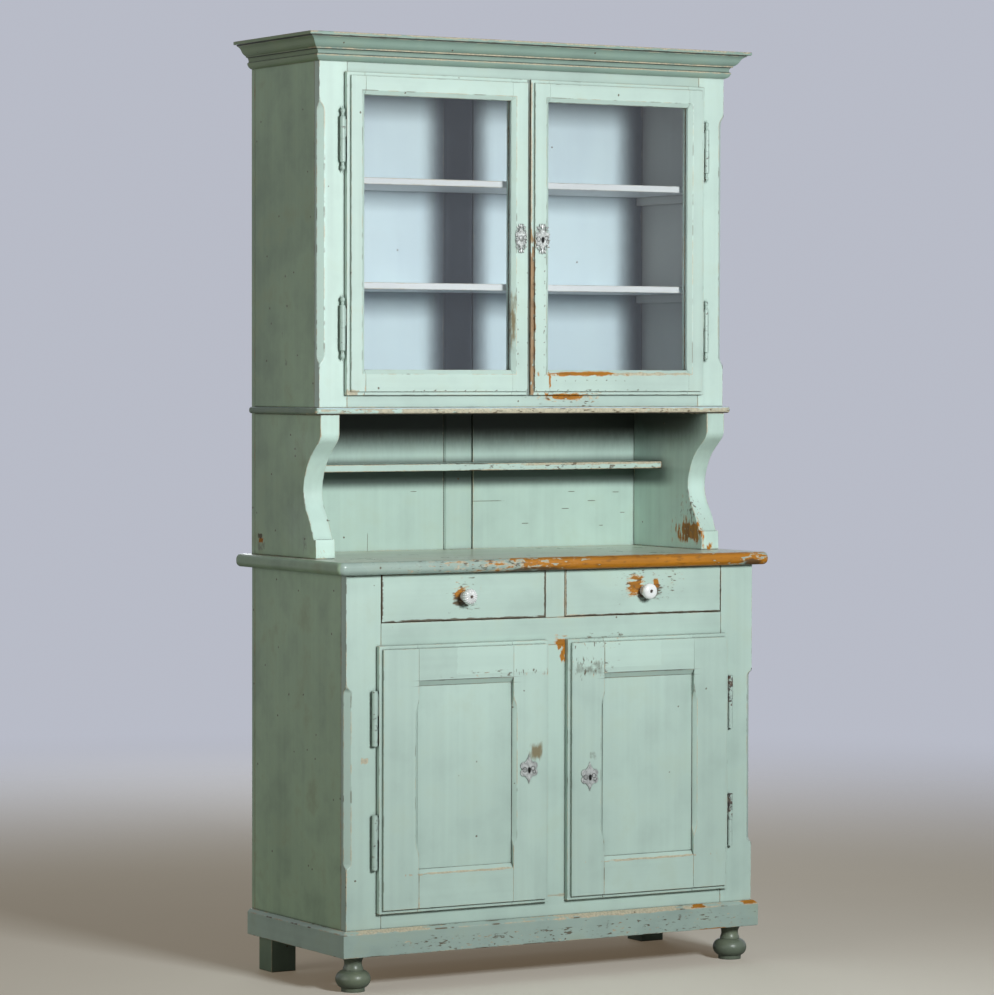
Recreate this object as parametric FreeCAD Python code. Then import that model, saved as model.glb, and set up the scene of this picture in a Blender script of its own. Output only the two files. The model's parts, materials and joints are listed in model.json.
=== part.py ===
"""Painted two-part buffet: a glazed cupboard on curved brackets, over a base with drawers and panelled doors.

Millimetres, +Z up, front towards -Y. Every piece is drawn with the back of the case at y = 0, and is then
moved so that the origin lies on the floor in the middle of the whole outline.
"""
import FreeCAD, Part
import math
import os
from collections import namedtuple

Vector = FreeCAD.Vector

# Case
CASE_WIDTH = 1000.0
BASE_DEPTH = 420.0
UPPER_DEPTH = 303.0
BASE_HEIGHT = 784.0
NICHE_HEIGHT = 299.0
UPPER_HEIGHT = 714.0
SIDE_THICKNESS = 25.0
FRAME_THICKNESS = 22.0
BACK_THICKNESS = 14.0

# Base face frame
BASE_STILE_WIDTH = 81.5
CENTRE_STILE_WIDTH = 70.0
MID_RAIL_HEIGHT = 57.5
BOTTOM_RAIL_HEIGHT = 97.0
DRAWER_OPENING_HEIGHT = 100.5
DRAWER_DIVIDER_WIDTH = 47.0

# Upper face frame
UPPER_STILE_WIDTH = 65.5
UPPER_BOTTOM_RAIL_HEIGHT = 33.0
UPPER_TOP_RAIL_HEIGHT = 28.0

# Stopped chamfers on the case corners
CASE_CHAMFER_WIDTH = 12.0
BASE_CHAMFER_TONGUE = 16.0
BASE_CHAMFER_LOW_INSET = 176.0
BASE_CHAMFER_HIGH_INSET = 225.0
UPPER_CHAMFER_TONGUE = 26.0
UPPER_CHAMFER_LOW_INSET = 82.0
UPPER_CHAMFER_HIGH_INSET = 75.0
TONGUE_HOLLOW_SHARE = 0.15
TONGUE_SWELL_SHARE = 0.85

# Boards inside the case
BASE_FLOOR_RISE = 73.0
BASE_FLOOR_THICKNESS = 18.0
BASE_SHELF_RISE = 358.0
BASE_SHELF_THICKNESS = 16.0
SHELF_SETBACK = 4.0
UPPER_SHELF_RISES = (247.0, 465.0)
UPPER_SHELF_THICKNESS = 14.0
CLEAT_WIDTH = 16.0
CLEAT_HEIGHT = 18.0
CLEAT_SETBACK = 12.0
CORNER_BLOCK_WIDTH = 56.0
BACK_BOARD_COUNT = 5
BACK_MUNTIN_WIDTH = 75.0
BACK_PANEL_THICKNESS = 12.0
TOP_BOARD_THICKNESS = 14.0

# Worktop
WORKTOP_THICKNESS = 27.0
WORKTOP_SIDE_OVERHANG = 29.5
WORKTOP_FRONT_OVERHANG = 27.0
WORKTOP_BACK_OVERHANG = 15.0
WORKTOP_CORNER_RADIUS = 16.0
WORKTOP_EDGE_SHARE = 0.42

# Plinth
PLINTH_HEIGHT = 55.0
PLINTH_PROJECTION = 11.0
PLINTH_BEVEL = 7.0

# Bun feet and rear legs
FOOT_HEIGHT = 74.0
FOOT_SIDE_INSET = 34.0
FOOT_FRONT_INSET = 32.0
FOOT_RING_RADIUS = 24.5
FOOT_RING_HEIGHT = 8.0
FOOT_BALL_RADIUS = 36.5
FOOT_SHOULDER_RADIUS = 21.0
FOOT_SHOULDER_HEIGHT = 44.0
FOOT_COLLAR_HEIGHT = 4.0
FOOT_NECK_RADIUS = 18.5
FOOT_TOP_RADIUS = 27.0
REAR_LEG_WIDTH = 58.0
REAR_LEG_SIDE_INSET = 6.0
REAR_LEG_BACK_INSET = 22.0

# Niche
BRACKET_THICKNESS = 45.0
BRACKET_NOSE = 6.0
BRACKET_CURVE_SHARES = (
    (1.000, 0.876),
    (0.964, 0.803),
    (0.861, 0.712),
    (0.777, 0.569),
    (0.757, 0.462),
    (0.786, 0.351),
    (0.854, 0.241),
    (0.912, 0.130),
    (0.935, 0.000),
)
NICHE_SHELF_RISE = 175.0
NICHE_SHELF_THICKNESS = 15.0
NICHE_SHELF_DEPTH = 114.0

# Floor of the upper cupboard, whose rounded edge shows as a bead
UPPER_FLOOR_THICKNESS = 14.0
UPPER_FLOOR_OVERHANG = 13.5
UPPER_FLOOR_CORNER_RADIUS = 9.0
UPPER_FLOOR_EDGE_SHARE = 0.44

# Cornice, with its profile as shares of projection and height
CORNICE_HEIGHT = 57.0
CORNICE_PROJECTION = 44.0
CORNICE_LAP = 34.0
CORNICE_PROFILE_SHARES = (
    ((0.17, 0.07), (0.26, 0.20)),
    (0.26, 0.235),
    (0.20, 0.25),
    ((0.205, 0.37), (0.27, 0.43)),
    (0.33, 0.43),
    (0.33, 0.475),
    ((0.47, 0.545), (0.57, 0.65)),
    ((0.67, 0.765), (0.82, 0.83)),
    (0.82, 0.87),
    (1.00, 0.88),
    (1.00, 1.00),
    (0.00, 1.00),
)

# Doors, both kinds
DOOR_PROUD = 18.0
DOOR_LIP_THICKNESS = 12.0
DOOR_TONGUE = 10.0
DOOR_LIP_STEP = 7.5
DOOR_CLEARANCE = 1.5
DOOR_SEAT_GAP = 0.3
MEETING_GAP = 3.0

# Lower doors
LOWER_LIP = 11.0
LOWER_HINGE_STILE = 91.0
LOWER_LOCK_STILE = 88.0
LOWER_DOOR_BOTTOM_RAIL = 88.0
LOWER_DOOR_TOP_RAIL = 85.0
LOWER_PANEL_SINK = 9.0
LOWER_PANEL_THICKNESS = 7.0
LOWER_PANEL_GROOVE = 8.0
RAIL_BEVEL_WIDTH = 10.0
RAIL_BEVEL_DEPTH = 8.5
RAIL_BEVEL_QUIRK = 1.5
DOOR_CHAMFER_WIDTH = 8.5
DOOR_CHAMFER_INSET = 24.0
DOOR_CHAMFER_TONGUE = 34.0

# Upper doors
UPPER_LIP = 7.0
UPPER_HINGE_STILE = 42.0
UPPER_MEETING_STILE = 44.5
UPPER_DOOR_BOTTOM_RAIL = 53.0
UPPER_DOOR_TOP_RAIL = 46.0
GLASS_BEVEL_WIDTH = 9.0
GLASS_BEVEL_DEPTH = 8.0
GLASS_REBATE = 8.0
GLASS_SINK = 16.0
GLASS_THICKNESS = 3.0
GLASS_CLEARANCE = 1.0

# Lift-off hinges
HINGE_STANDOFF = 8.3
HINGE_SIDE_OFFSET = 8.3
HINGE_RADIUS = 6.0
HINGE_FACE_GAP = 0.3
PIN_RADIUS = 3.0
PIN_LENGTH = 24.0
PIN_CLEARANCE = 0.05
BLADE_THICKNESS = 2.5
BLADE_DEPTH = 17.0
BLADE_REACH = 30.0
BLADE_INSET = 5.0
LOWER_HINGE_LENGTH = 113.0
LOWER_HINGE_INSET = 148.0
UPPER_HINGE_LENGTH = 92.0
UPPER_HINGE_INSET = 139.0
TIP_LENGTH = 23.0
TIP_NECK_RADIUS = 3.2
TIP_BALL_RADIUS = 4.8
TIP_NECK_SHARES = (0.10, 0.34)
TIP_BALL_SHARES = (0.58, 0.80)
TIP_NIB_SHARE = 0.35

# Locks
LOWER_LOCK_RISES = (283.0, 260.0)
LOWER_LOCK_WIDTH = 50.0
LOWER_LOCK_HEIGHT = 70.0
LOWER_BOLT_LENGTH = 36.0
UPPER_LOCK_RISE = 331.0
UPPER_LOCK_WIDTH = 26.0
UPPER_LOCK_HEIGHT = 62.0
UPPER_BOLT_LENGTH = 22.0
LOCK_SETBACK = 6.0
LOCK_THICKNESS = 14.0
LOCK_BOLT_RISE = 12.0
LOCK_BOLT_HEIGHT = 14.0
LOCK_BOLT_THICKNESS = 5.0
LOCK_BOLT_COVER = 3.0
LOCK_BOLT_RETRACT = 1.0
LOCK_BOLT_STROKE = 9.0
BOLT_CLEARANCE = 0.3
POCKET_CLEARANCE = 1.5

# Keyhole plates, with the right half of their outline as shares of half width and half height
PLATE_THICKNESS = 2.0
PLATE_OUTLINE_SHARES = (
    ((0.20, 0.66), (0.50, 0.44)),
    ((1.00, 0.26), (0.74, 0.00)),
    ((1.00, -0.26), (0.50, -0.44)),
    ((0.20, -0.66), (0.00, -1.00)),
)
LOWER_PLATE_WIDTH = 41.0
LOWER_PLATE_HEIGHT = 63.0
LOWER_PLATE_OFFSET = 51.0
LEFT_UPPER_PLATE_WIDTH = 26.0
RIGHT_UPPER_PLATE_WIDTH = 33.0
UPPER_PLATE_HEIGHT = 62.0
UPPER_PLATE_OFFSET = 25.0
BOSS_RADIUS = 7.0
BOSS_HEIGHT = 3.0
KEYHOLE_RADIUS = 2.6
KEYHOLE_SLOT_WIDTH = 2.6
KEYHOLE_DROP = 9.0

# Upright bolt behind the left glazed door
GUIDE_WIDTH = 22.0
GUIDE_HEIGHT = 82.0
GUIDE_THICKNESS = 2.0
GUIDE_TOP_INSET = 10.0
STAPLE_WIDTH = 16.0
STAPLE_HEIGHT = 8.0
STAPLE_INSET = 9.0
STAPLE_WALL = 2.5
SLIDE_BOLT_WIDTH = 8.0
SLIDE_BOLT_THICKNESS = 6.0
SLIDE_BOLT_LENGTH = 96.0
SLIDE_BOLT_TOP_INSET = 4.5
SLIDE_BOLT_STROKE = 14.0
SLIDE_KNOB_RADIUS = 3.5
SLIDE_KNOB_LENGTH = 8.0
SLIDE_KNOB_GAP = 6.0

# Drawers
DRAWER_GAP = 1.5
DRAWER_FRONT_THICKNESS = 20.0
DRAWER_SIDE_THICKNESS = 12.0
DRAWER_SIDE_INSET = 2.0
DRAWER_BACK_GAP = 41.0
DRAWER_BOX_HEIGHT = 84.0
DRAWER_BOTTOM_THICKNESS = 6.0
DRAWER_BOTTOM_RISE = 8.0
RUNNER_HEIGHT = 20.0
RUNNER_WIDTH = 24.0
RUNNER_GAP = 0.3
GUIDE_STRIP_HEIGHT = 26.0
PARTITION_THICKNESS = 20.0

# Porcelain knobs
KNOB_RADIUS = 17.0
KNOB_PROJECTION = 32.0
KNOB_FOOT_RADIUS = 10.0
KNOB_FOOT_HEIGHT = 3.0
KNOB_NECK_RADIUS = 7.0
KNOB_NECK_HEIGHT = 10.0
KNOB_FACE_RADIUS = 8.0
KNOB_BELLY_SHARE = 0.62
KNOB_SCREW_RADIUS = 2.4
KNOB_SCREW_HEIGHT = 1.2

# How far every cutting solid runs past the face that it opens
OVERRUN = 5.0

FULL_TURN = 360

# Places worked out from the sizes
HALF_WIDTH = CASE_WIDTH / 2
INNER_HALF = HALF_WIDTH - SIDE_THICKNESS
BACK_FACE = -BACK_THICKNESS
BASE_FRONT = -BASE_DEPTH
BASE_FRAME_BACK = BASE_FRONT + FRAME_THICKNESS
UPPER_FRONT = -UPPER_DEPTH
UPPER_FRAME_BACK = UPPER_FRONT + FRAME_THICKNESS
CASE_Z = FOOT_HEIGHT
WORKTOP_Z = CASE_Z + BASE_HEIGHT
DRAWER_Z = WORKTOP_Z - DRAWER_OPENING_HEIGHT
MID_RAIL_Z = DRAWER_Z - MID_RAIL_HEIGHT
DOOR_FLOOR_Z = CASE_Z + BOTTOM_RAIL_HEIGHT
BASE_FLOOR_Z = CASE_Z + BASE_FLOOR_RISE
NICHE_Z = WORKTOP_Z + WORKTOP_THICKNESS
UPPER_FLOOR_Z = NICHE_Z + NICHE_HEIGHT
UPPER_Z = UPPER_FLOOR_Z + UPPER_FLOOR_THICKNESS
CORNICE_Z = UPPER_Z + UPPER_HEIGHT
CASE_TOP_Z = CORNICE_Z + CORNICE_LAP
BASE_STILE_EDGE = HALF_WIDTH - BASE_STILE_WIDTH
UPPER_STILE_EDGE = HALF_WIDTH - UPPER_STILE_WIDTH
FRONT_REACH = BASE_DEPTH + max(KNOB_PROJECTION + KNOB_SCREW_HEIGHT, WORKTOP_FRONT_OVERHANG)
ORIGIN_SHIFT = Vector(0, (FRONT_REACH - WORKTOP_BACK_OVERHANG) / 2, 0)

# An upright rectangle, seen from the front
Rect = namedtuple("Rect", "x0 x1 z0 z1")

# A door: the plane of its face frame, its back, lip and face rectangles, and the opening inside its own frame
Door = namedtuple("Door", "front body lip face sight")

# A lift-off hinge: its two halves and the blades that are let into stile and door
Hinge = namedtuple("Hinge", "pintle socket stile_blade door_blade")

# A cut-in lock: its case, its bolt, the pocket for the case, the slot for the bolt and the pocket it enters
Lock = namedtuple("Lock", "case bolt seat slot keeper")


def box(x0, x1, y0, y1, z0, z1):
    """Upright block between two corners."""
    return Part.makeBox(x1 - x0, y1 - y0, z1 - z0, Vector(x0, y0, z0))


def slab(rect, y0, y1):
    """Block with a given front rectangle."""
    return box(rect.x0, rect.x1, y0, y1, rect.z0, rect.z1)


def grown(rect, margin):
    """Rectangle widened on all four sides."""
    return Rect(rect.x0 - margin, rect.x1 + margin, rect.z0 - margin, rect.z1 + margin)


def mirrored(shape):
    """The same piece on the other side of the buffet's middle."""
    return shape.mirror(Vector(0, 0, 0), Vector(1, 0, 0))


def unchanged(shape):
    """A piece that stays where it is drawn, on the right."""
    return shape


# The two hands of a paired piece, each with what puts the right-hand drawing there
HANDS = (("left", mirrored), ("right", unchanged))


def both_sides(shape):
    """The left and the right copy of a piece that is drawn on the right."""
    return [mirrored(shape), shape]


def outline(place, start, *moves):
    """Closed face through points: a move is a point for a line, or a pair (via, point) for an arc."""
    edges = []
    first = here = place(*start)
    for move in moves:
        if isinstance(move[0], tuple):
            via, end = place(*move[0]), place(*move[1])
            edges.append(Part.Arc(here, via, end).toShape())
        else:
            end = place(*move)
            edges.append(Part.LineSegment(here, end).toShape())
        here = end
    if here != first:
        edges.append(Part.LineSegment(here, first).toShape())
    return Part.Face(Part.Wire(edges))


def turned(base, axis, start, *moves):
    """Turned solid: its outline's points are (radius, distance along the axis)."""
    across = Vector(1, 0, 0)
    face = outline(lambda radius, along: base + across * radius + axis * along, start, *moves)
    return face.revolve(base, axis, FULL_TURN).Solids[0]


def scaled_move(move, width, height):
    """An outline move that is given in shares, at its real size."""
    if isinstance(move[0], tuple):
        return tuple(scaled_move(point, width, height) for point in move)
    return (move[0] * width, move[1] * height)


def stopped_chamfer(x, y, wood_side, z0, z1, width, tongue):
    """Cutter for the front corner at (x, y), with wood towards wood_side; both ends run out in an ogee."""
    inward = Vector(wood_side, 1, 0).normalize()
    along = Vector(-inward.y, inward.x, 0)
    depth = width / math.sqrt(2)
    corner = Vector(x, y, 0) - along * width

    def place(sink, z):
        return corner + inward * sink + Vector(0, 0, z)

    def run_out(stop, sign):
        hollow = (depth * TONGUE_HOLLOW_SHARE, stop + sign * tongue / 4)
        middle = (depth / 2, stop + sign * tongue / 2)
        swell = (depth * TONGUE_SWELL_SHARE, stop + sign * tongue * 3 / 4)
        full = (depth, stop + sign * tongue)
        return hollow, middle, swell, full

    low_hollow, low_middle, low_swell, low_full = run_out(z0, 1)
    high_hollow, high_middle, high_swell, high_full = run_out(z1, -1)
    face = outline(
        place,
        (-OVERRUN, z0),
        (0, z0),
        (low_hollow, low_middle),
        (low_swell, low_full),
        high_full,
        (high_swell, high_middle),
        (high_hollow, (0, z1)),
        (-OVERRUN, z1),
    )
    return face.extrude(along * 2 * width)


def mitred_moulding(start, moves, depth, projection):
    """Front and two side lengths of one moulding, mitred round the front corners of the case."""
    reach = HALF_WIDTH + projection
    front = outline(lambda out, z: Vector(-reach, -depth - out, z), start, *moves)
    front = front.extrude(Vector(2 * reach, 0, 0))
    side = outline(lambda out, z: Vector(HALF_WIDTH + out, -depth - projection, z), start, *moves)
    side = side.extrude(Vector(0, depth + projection, 0))
    low = front.BoundBox.ZMin - OVERRUN
    rise = Vector(0, 0, front.BoundBox.ZLength + 2 * OVERRUN)

    def wedge(x, y):
        face = outline(
            lambda px, py: Vector(px, py, low),
            (HALF_WIDTH - OVERRUN, -depth + OVERRUN),
            (reach + OVERRUN, -depth - projection - OVERRUN),
            (x, y),
        )
        return face.extrude(rise)

    beyond_front = wedge(reach + OVERRUN, -depth + OVERRUN)
    beyond_side = wedge(HALF_WIDTH - OVERRUN, -depth - projection - OVERRUN)
    front = front.cut([beyond_front, mirrored(beyond_front)])
    return front.Solids + both_sides(side.cut(beyond_side).Solids[0])


def rounded_board(board, corner_radius, edge_radius):
    """Board with rounded front corners in plan and rounded front and side edges, square at the back."""
    bounds = board.BoundBox
    front_corners = [
        edge
        for edge in board.Edges
        if edge.BoundBox.ZLength > bounds.ZLength / 2 and edge.BoundBox.YMax < bounds.Center.y
    ]
    board = board.makeFillet(corner_radius, front_corners)
    rims = [
        edge
        for edge in board.Edges
        if edge.BoundBox.ZLength < bounds.ZLength / 2 and edge.BoundBox.YMin < bounds.Center.y
    ]
    return board.makeFillet(edge_radius, rims)


def hinge(axis_x, front, middle_z, length, tipped):
    """One lift-off hinge on the right: a pintle in the stile below, a socket on the door above."""
    axis_y = front - HINGE_STANDOFF
    up = Vector(0, 0, 1)
    low_z = middle_z - length / 2
    high_z = middle_z + length / 2
    seat_z = middle_z - HINGE_FACE_GAP

    def rod(radius, z0, z1):
        return Part.makeCylinder(radius, z1 - z0, Vector(axis_x, axis_y, z0), up)

    stile_blade = box(
        axis_x - BLADE_THICKNESS / 2, axis_x + BLADE_THICKNESS / 2,
        axis_y, front + BLADE_DEPTH,
        low_z + BLADE_INSET, seat_z - BLADE_INSET,
    )
    door_blade = box(
        axis_x - BLADE_REACH, axis_x,
        axis_y - BLADE_THICKNESS / 2, axis_y + BLADE_THICKNESS / 2,
        middle_z + BLADE_INSET, high_z - BLADE_INSET,
    )
    pin = rod(PIN_RADIUS, seat_z, middle_z + PIN_LENGTH)
    pintle = rod(HINGE_RADIUS, low_z, seat_z).fuse([pin, stile_blade])
    socket = rod(HINGE_RADIUS, middle_z, high_z).fuse(door_blade)
    if tipped:
        pintle = pintle.fuse(hinge_tip(Vector(axis_x, axis_y, low_z), -up))
        socket = socket.fuse(hinge_tip(Vector(axis_x, axis_y, high_z), up))
    bore_end = middle_z + PIN_LENGTH + HINGE_FACE_GAP
    socket = socket.cut(rod(PIN_RADIUS + PIN_CLEARANCE, middle_z - OVERRUN, bore_end))
    pintle = pintle.removeSplitter().Solids[0]
    socket = socket.removeSplitter().Solids[0]
    return Hinge(pintle, socket, stile_blade, door_blade)


def hinge_tip(base, axis):
    """Turned finial: a cone into a neck, a ball and a nib."""
    neck_start, neck_end = (share * TIP_LENGTH for share in TIP_NECK_SHARES)
    ball_middle, ball_end = (share * TIP_LENGTH for share in TIP_BALL_SHARES)
    nib_radius = TIP_BALL_RADIUS * TIP_NIB_SHARE
    return turned(
        base, axis,
        (0, 0),
        (HINGE_RADIUS, 0),
        (TIP_NECK_RADIUS, neck_start),
        (TIP_NECK_RADIUS, neck_end),
        ((TIP_BALL_RADIUS, ball_middle), (nib_radius, ball_end)),
        (0, TIP_LENGTH),
    )


def keyhole(x, z, y0, y1):
    """Cutter for a keyhole: a round hole over a slot."""
    top = Part.makeCylinder(KEYHOLE_RADIUS, y1 - y0, Vector(x, y0, z), Vector(0, 1, 0))
    half_slot = KEYHOLE_SLOT_WIDTH / 2
    return top.fuse(box(x - half_slot, x + half_slot, y0, y1, z - KEYHOLE_DROP, z))


def key_plate(x, z, face_y, width, height):
    """Waisted lozenge plate on a door's face."""
    top = (0, height / 2)
    right = [scaled_move(move, width / 2, height / 2) for move in PLATE_OUTLINE_SHARES]
    starts = [top] + [end for via, end in right]
    left = [
        ((-via[0], via[1]), (-start[0], start[1]))
        for start, (via, end) in reversed(list(zip(starts, right)))
    ]
    face = outline(lambda px, pz: Vector(x + px, face_y, z + pz), top, *right, *left)
    return face.extrude(Vector(0, -PLATE_THICKNESS, 0))


def cut_lock(door, lock_z, case_width, case_height, bolt_length):
    """Lock let into the back of a right-hand door's free stile, with its bolt drawn back at rest."""
    edge = door.body.x0
    back = door.front + DOOR_TONGUE
    case = box(
        edge + LOCK_SETBACK, edge + LOCK_SETBACK + case_width,
        back - LOCK_THICKNESS, back,
        lock_z - case_height / 2, lock_z + case_height / 2,
    )
    bolt_y = back - LOCK_BOLT_COVER - LOCK_BOLT_THICKNESS
    bolt_end = edge + LOCK_BOLT_RETRACT
    bolt_z = lock_z + LOCK_BOLT_RISE

    def along_bolt(x0, x1, margin):
        return box(
            x0, x1,
            bolt_y - margin, bolt_y + LOCK_BOLT_THICKNESS + margin,
            bolt_z - LOCK_BOLT_HEIGHT / 2 - margin, bolt_z + LOCK_BOLT_HEIGHT / 2 + margin,
        )

    bolt = along_bolt(bolt_end, bolt_end + bolt_length, 0)
    slot = along_bolt(edge - OVERRUN, bolt_end + bolt_length + BOLT_CLEARANCE, BOLT_CLEARANCE)
    keeper = along_bolt(bolt_end - LOCK_BOLT_STROKE - POCKET_CLEARANCE, edge, BOLT_CLEARANCE)
    return Lock(case.cut(slot), bolt, case, slot, keeper)


def door_frame(door, cutters):
    """Two stiles and two rails, cut from one stepped blank."""
    front = door.front
    back = front + DOOR_TONGUE
    step = front - DOOR_LIP_THICKNESS
    seat = front - DOOR_SEAT_GAP
    layers = [slab(door.lip, step, seat), slab(door.body, seat, back)]
    blank = slab(door.face, front - DOOR_PROUD, step).fuse(layers).removeSplitter().cut(cutters)
    reach = grown(door.lip, OVERRUN)
    sight = door.sight
    members = (
        Rect(reach.x0, sight.x0, reach.z0, reach.z1),
        Rect(sight.x1, reach.x1, reach.z0, reach.z1),
        Rect(sight.x0, sight.x1, reach.z0, sight.z0),
        Rect(sight.x0, sight.x1, sight.z1, reach.z1),
    )
    frame = []
    for member in members:
        frame += blank.common(slab(member, front - DOOR_PROUD - OVERRUN, back + OVERRUN)).Solids
    return frame


def door_hinges(door, length, inset, tipped):
    """The lower and the upper hinge of a right-hand door."""
    axis_x = door.lip.x1 + HINGE_SIDE_OFFSET
    heights = (door.lip.z0 + inset, door.lip.z1 - inset)
    return [hinge(axis_x, door.front, height, length, tipped) for height in heights]


def lower_door():
    """Rectangles of the right-hand lower door."""
    opening = Rect(CENTRE_STILE_WIDTH / 2, BASE_STILE_EDGE, DOOR_FLOOR_Z, MID_RAIL_Z)
    lip = grown(opening, LOWER_LIP)
    sight = Rect(
        lip.x0 + LOWER_LOCK_STILE,
        lip.x1 - LOWER_HINGE_STILE,
        lip.z0 + LOWER_DOOR_BOTTOM_RAIL,
        lip.z1 - LOWER_DOOR_TOP_RAIL,
    )
    return Door(BASE_FRONT, grown(opening, -DOOR_CLEARANCE), lip, grown(lip, -DOOR_LIP_STEP), sight)


def upper_door():
    """Rectangles of the right-hand glazed door, whose free edge meets its twin."""
    opening = Rect(MEETING_GAP / 2, UPPER_STILE_EDGE, UPPER_Z + UPPER_BOTTOM_RAIL_HEIGHT,
                   CORNICE_Z - UPPER_TOP_RAIL_HEIGHT)
    lip = grown(opening, UPPER_LIP)._replace(x0=opening.x0)
    body = grown(opening, -DOOR_CLEARANCE)._replace(x0=opening.x0)
    sight = Rect(
        lip.x0 + UPPER_MEETING_STILE,
        lip.x1 - UPPER_HINGE_STILE,
        lip.z0 + UPPER_DOOR_BOTTOM_RAIL,
        lip.z1 - UPPER_DOOR_TOP_RAIL,
    )
    return Door(UPPER_FRONT, body, lip, grown(lip, -DOOR_LIP_STEP), sight)


def rail_bevels(door):
    """Cutters for the quirked bevels along the inner edges of a panelled door's rails."""
    face_y = door.front - DOOR_PROUD
    cutters = []
    for edge_z, out in ((door.sight.z0, -1), (door.sight.z1, 1)):
        face = outline(
            lambda sink, rise: Vector(door.sight.x0, face_y + sink, edge_z + out * rise),
            (-OVERRUN, -OVERRUN),
            (-OVERRUN, RAIL_BEVEL_WIDTH),
            (RAIL_BEVEL_QUIRK, RAIL_BEVEL_WIDTH),
            (RAIL_BEVEL_DEPTH, 0),
            (RAIL_BEVEL_DEPTH, -OVERRUN),
        )
        cutters.append(face.extrude(Vector(door.sight.x1 - door.sight.x0, 0, 0)))
    return cutters


def stile_chamfers(door):
    """Cutters for the stopped chamfers along the inner edges of a panelled door's stiles."""
    face_y = door.front - DOOR_PROUD
    z0 = door.sight.z0 + DOOR_CHAMFER_INSET
    z1 = door.sight.z1 - DOOR_CHAMFER_INSET
    return [
        stopped_chamfer(edge_x, face_y, wood_side, z0, z1, DOOR_CHAMFER_WIDTH, DOOR_CHAMFER_TONGUE)
        for edge_x, wood_side in ((door.sight.x0, -1), (door.sight.x1, 1))
    ]


def glass_bevel(door):
    """Cutter for the mitred bevel round a glazed door's opening."""
    face_y = door.front - DOOR_PROUD

    def ring(y, margin):
        rect = grown(door.sight, margin)
        corners = ((rect.x0, rect.z0), (rect.x1, rect.z0), (rect.x1, rect.z1), (rect.x0, rect.z1))
        points = [Vector(x, y, z) for x, z in corners]
        return Part.makePolygon(points + points[:1])

    slope = GLASS_BEVEL_WIDTH / GLASS_BEVEL_DEPTH
    return Part.makeLoft(
        [ring(face_y - OVERRUN, GLASS_BEVEL_WIDTH + OVERRUN * slope), ring(face_y + GLASS_BEVEL_DEPTH, 0)],
        True, True,
    )


def border(outer, inner, y0, y1):
    """Two uprights and two crosspieces that fill the space between two rectangles."""
    rects = (
        Rect(outer.x0, inner.x0, outer.z0, outer.z1),
        Rect(inner.x1, outer.x1, outer.z0, outer.z1),
        Rect(inner.x0, inner.x1, outer.z0, inner.z0),
        Rect(inner.x0, inner.x1, inner.z1, outer.z1),
    )
    return [slab(rect, y0, y1) for rect in rects]


def slide_bolt(door):
    """Upright bolt, its guide and the pocket that it enters, drawn behind a right-hand glazed door."""
    back = door.front + DOOR_TONGUE
    middle_x = (door.body.x0 + door.sight.x0 - GLASS_REBATE) / 2
    guide_z = door.body.z1 - GUIDE_TOP_INSET - GUIDE_HEIGHT
    plate_y = back + GUIDE_THICKNESS
    bolt_y = plate_y + BOLT_CLEARANCE
    bolt_top = door.body.z1 - SLIDE_BOLT_TOP_INSET
    bolt_low = bolt_top - SLIDE_BOLT_LENGTH

    def along_bolt(z0, z1, margin):
        half = SLIDE_BOLT_WIDTH / 2 + margin
        return box(middle_x - half, middle_x + half,
                   bolt_y - margin, bolt_y + SLIDE_BOLT_THICKNESS + margin, z0, z1)

    guide = box(middle_x - GUIDE_WIDTH / 2, middle_x + GUIDE_WIDTH / 2, back, plate_y,
                guide_z, guide_z + GUIDE_HEIGHT)
    staple_y = bolt_y + SLIDE_BOLT_THICKNESS + BOLT_CLEARANCE + STAPLE_WALL
    low_staple = guide_z + STAPLE_INSET
    for staple_z in (low_staple, guide_z + GUIDE_HEIGHT - STAPLE_INSET - STAPLE_HEIGHT):
        guide = guide.fuse(box(middle_x - STAPLE_WIDTH / 2, middle_x + STAPLE_WIDTH / 2, plate_y, staple_y,
                               staple_z, staple_z + STAPLE_HEIGHT))
    guide = guide.removeSplitter().cut(along_bolt(guide_z - OVERRUN, bolt_top + OVERRUN, BOLT_CLEARANCE))
    knob_z = low_staple + STAPLE_HEIGHT + SLIDE_KNOB_GAP + SLIDE_KNOB_RADIUS
    knob_place = Vector(middle_x, bolt_y + SLIDE_BOLT_THICKNESS / 2, knob_z)
    knob = Part.makeCylinder(SLIDE_KNOB_RADIUS, SLIDE_BOLT_THICKNESS / 2 + SLIDE_KNOB_LENGTH, knob_place,
                             Vector(0, 1, 0))
    bolt = along_bolt(bolt_low, bolt_top, 0).fuse(knob).removeSplitter()
    pocket = along_bolt(door.body.z1, bolt_top + SLIDE_BOLT_STROKE + POCKET_CLEARANCE, BOLT_CLEARANCE)
    return guide.Solids[0], bolt.Solids[0], pocket


def save(node, solids):
    """Write one node, moved to the final origin."""
    shape = Part.makeCompound([solid.translated(ORIGIN_SHIFT) for solid in solids])
    shape.exportStep(f"parts/{node}.step")


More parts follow.
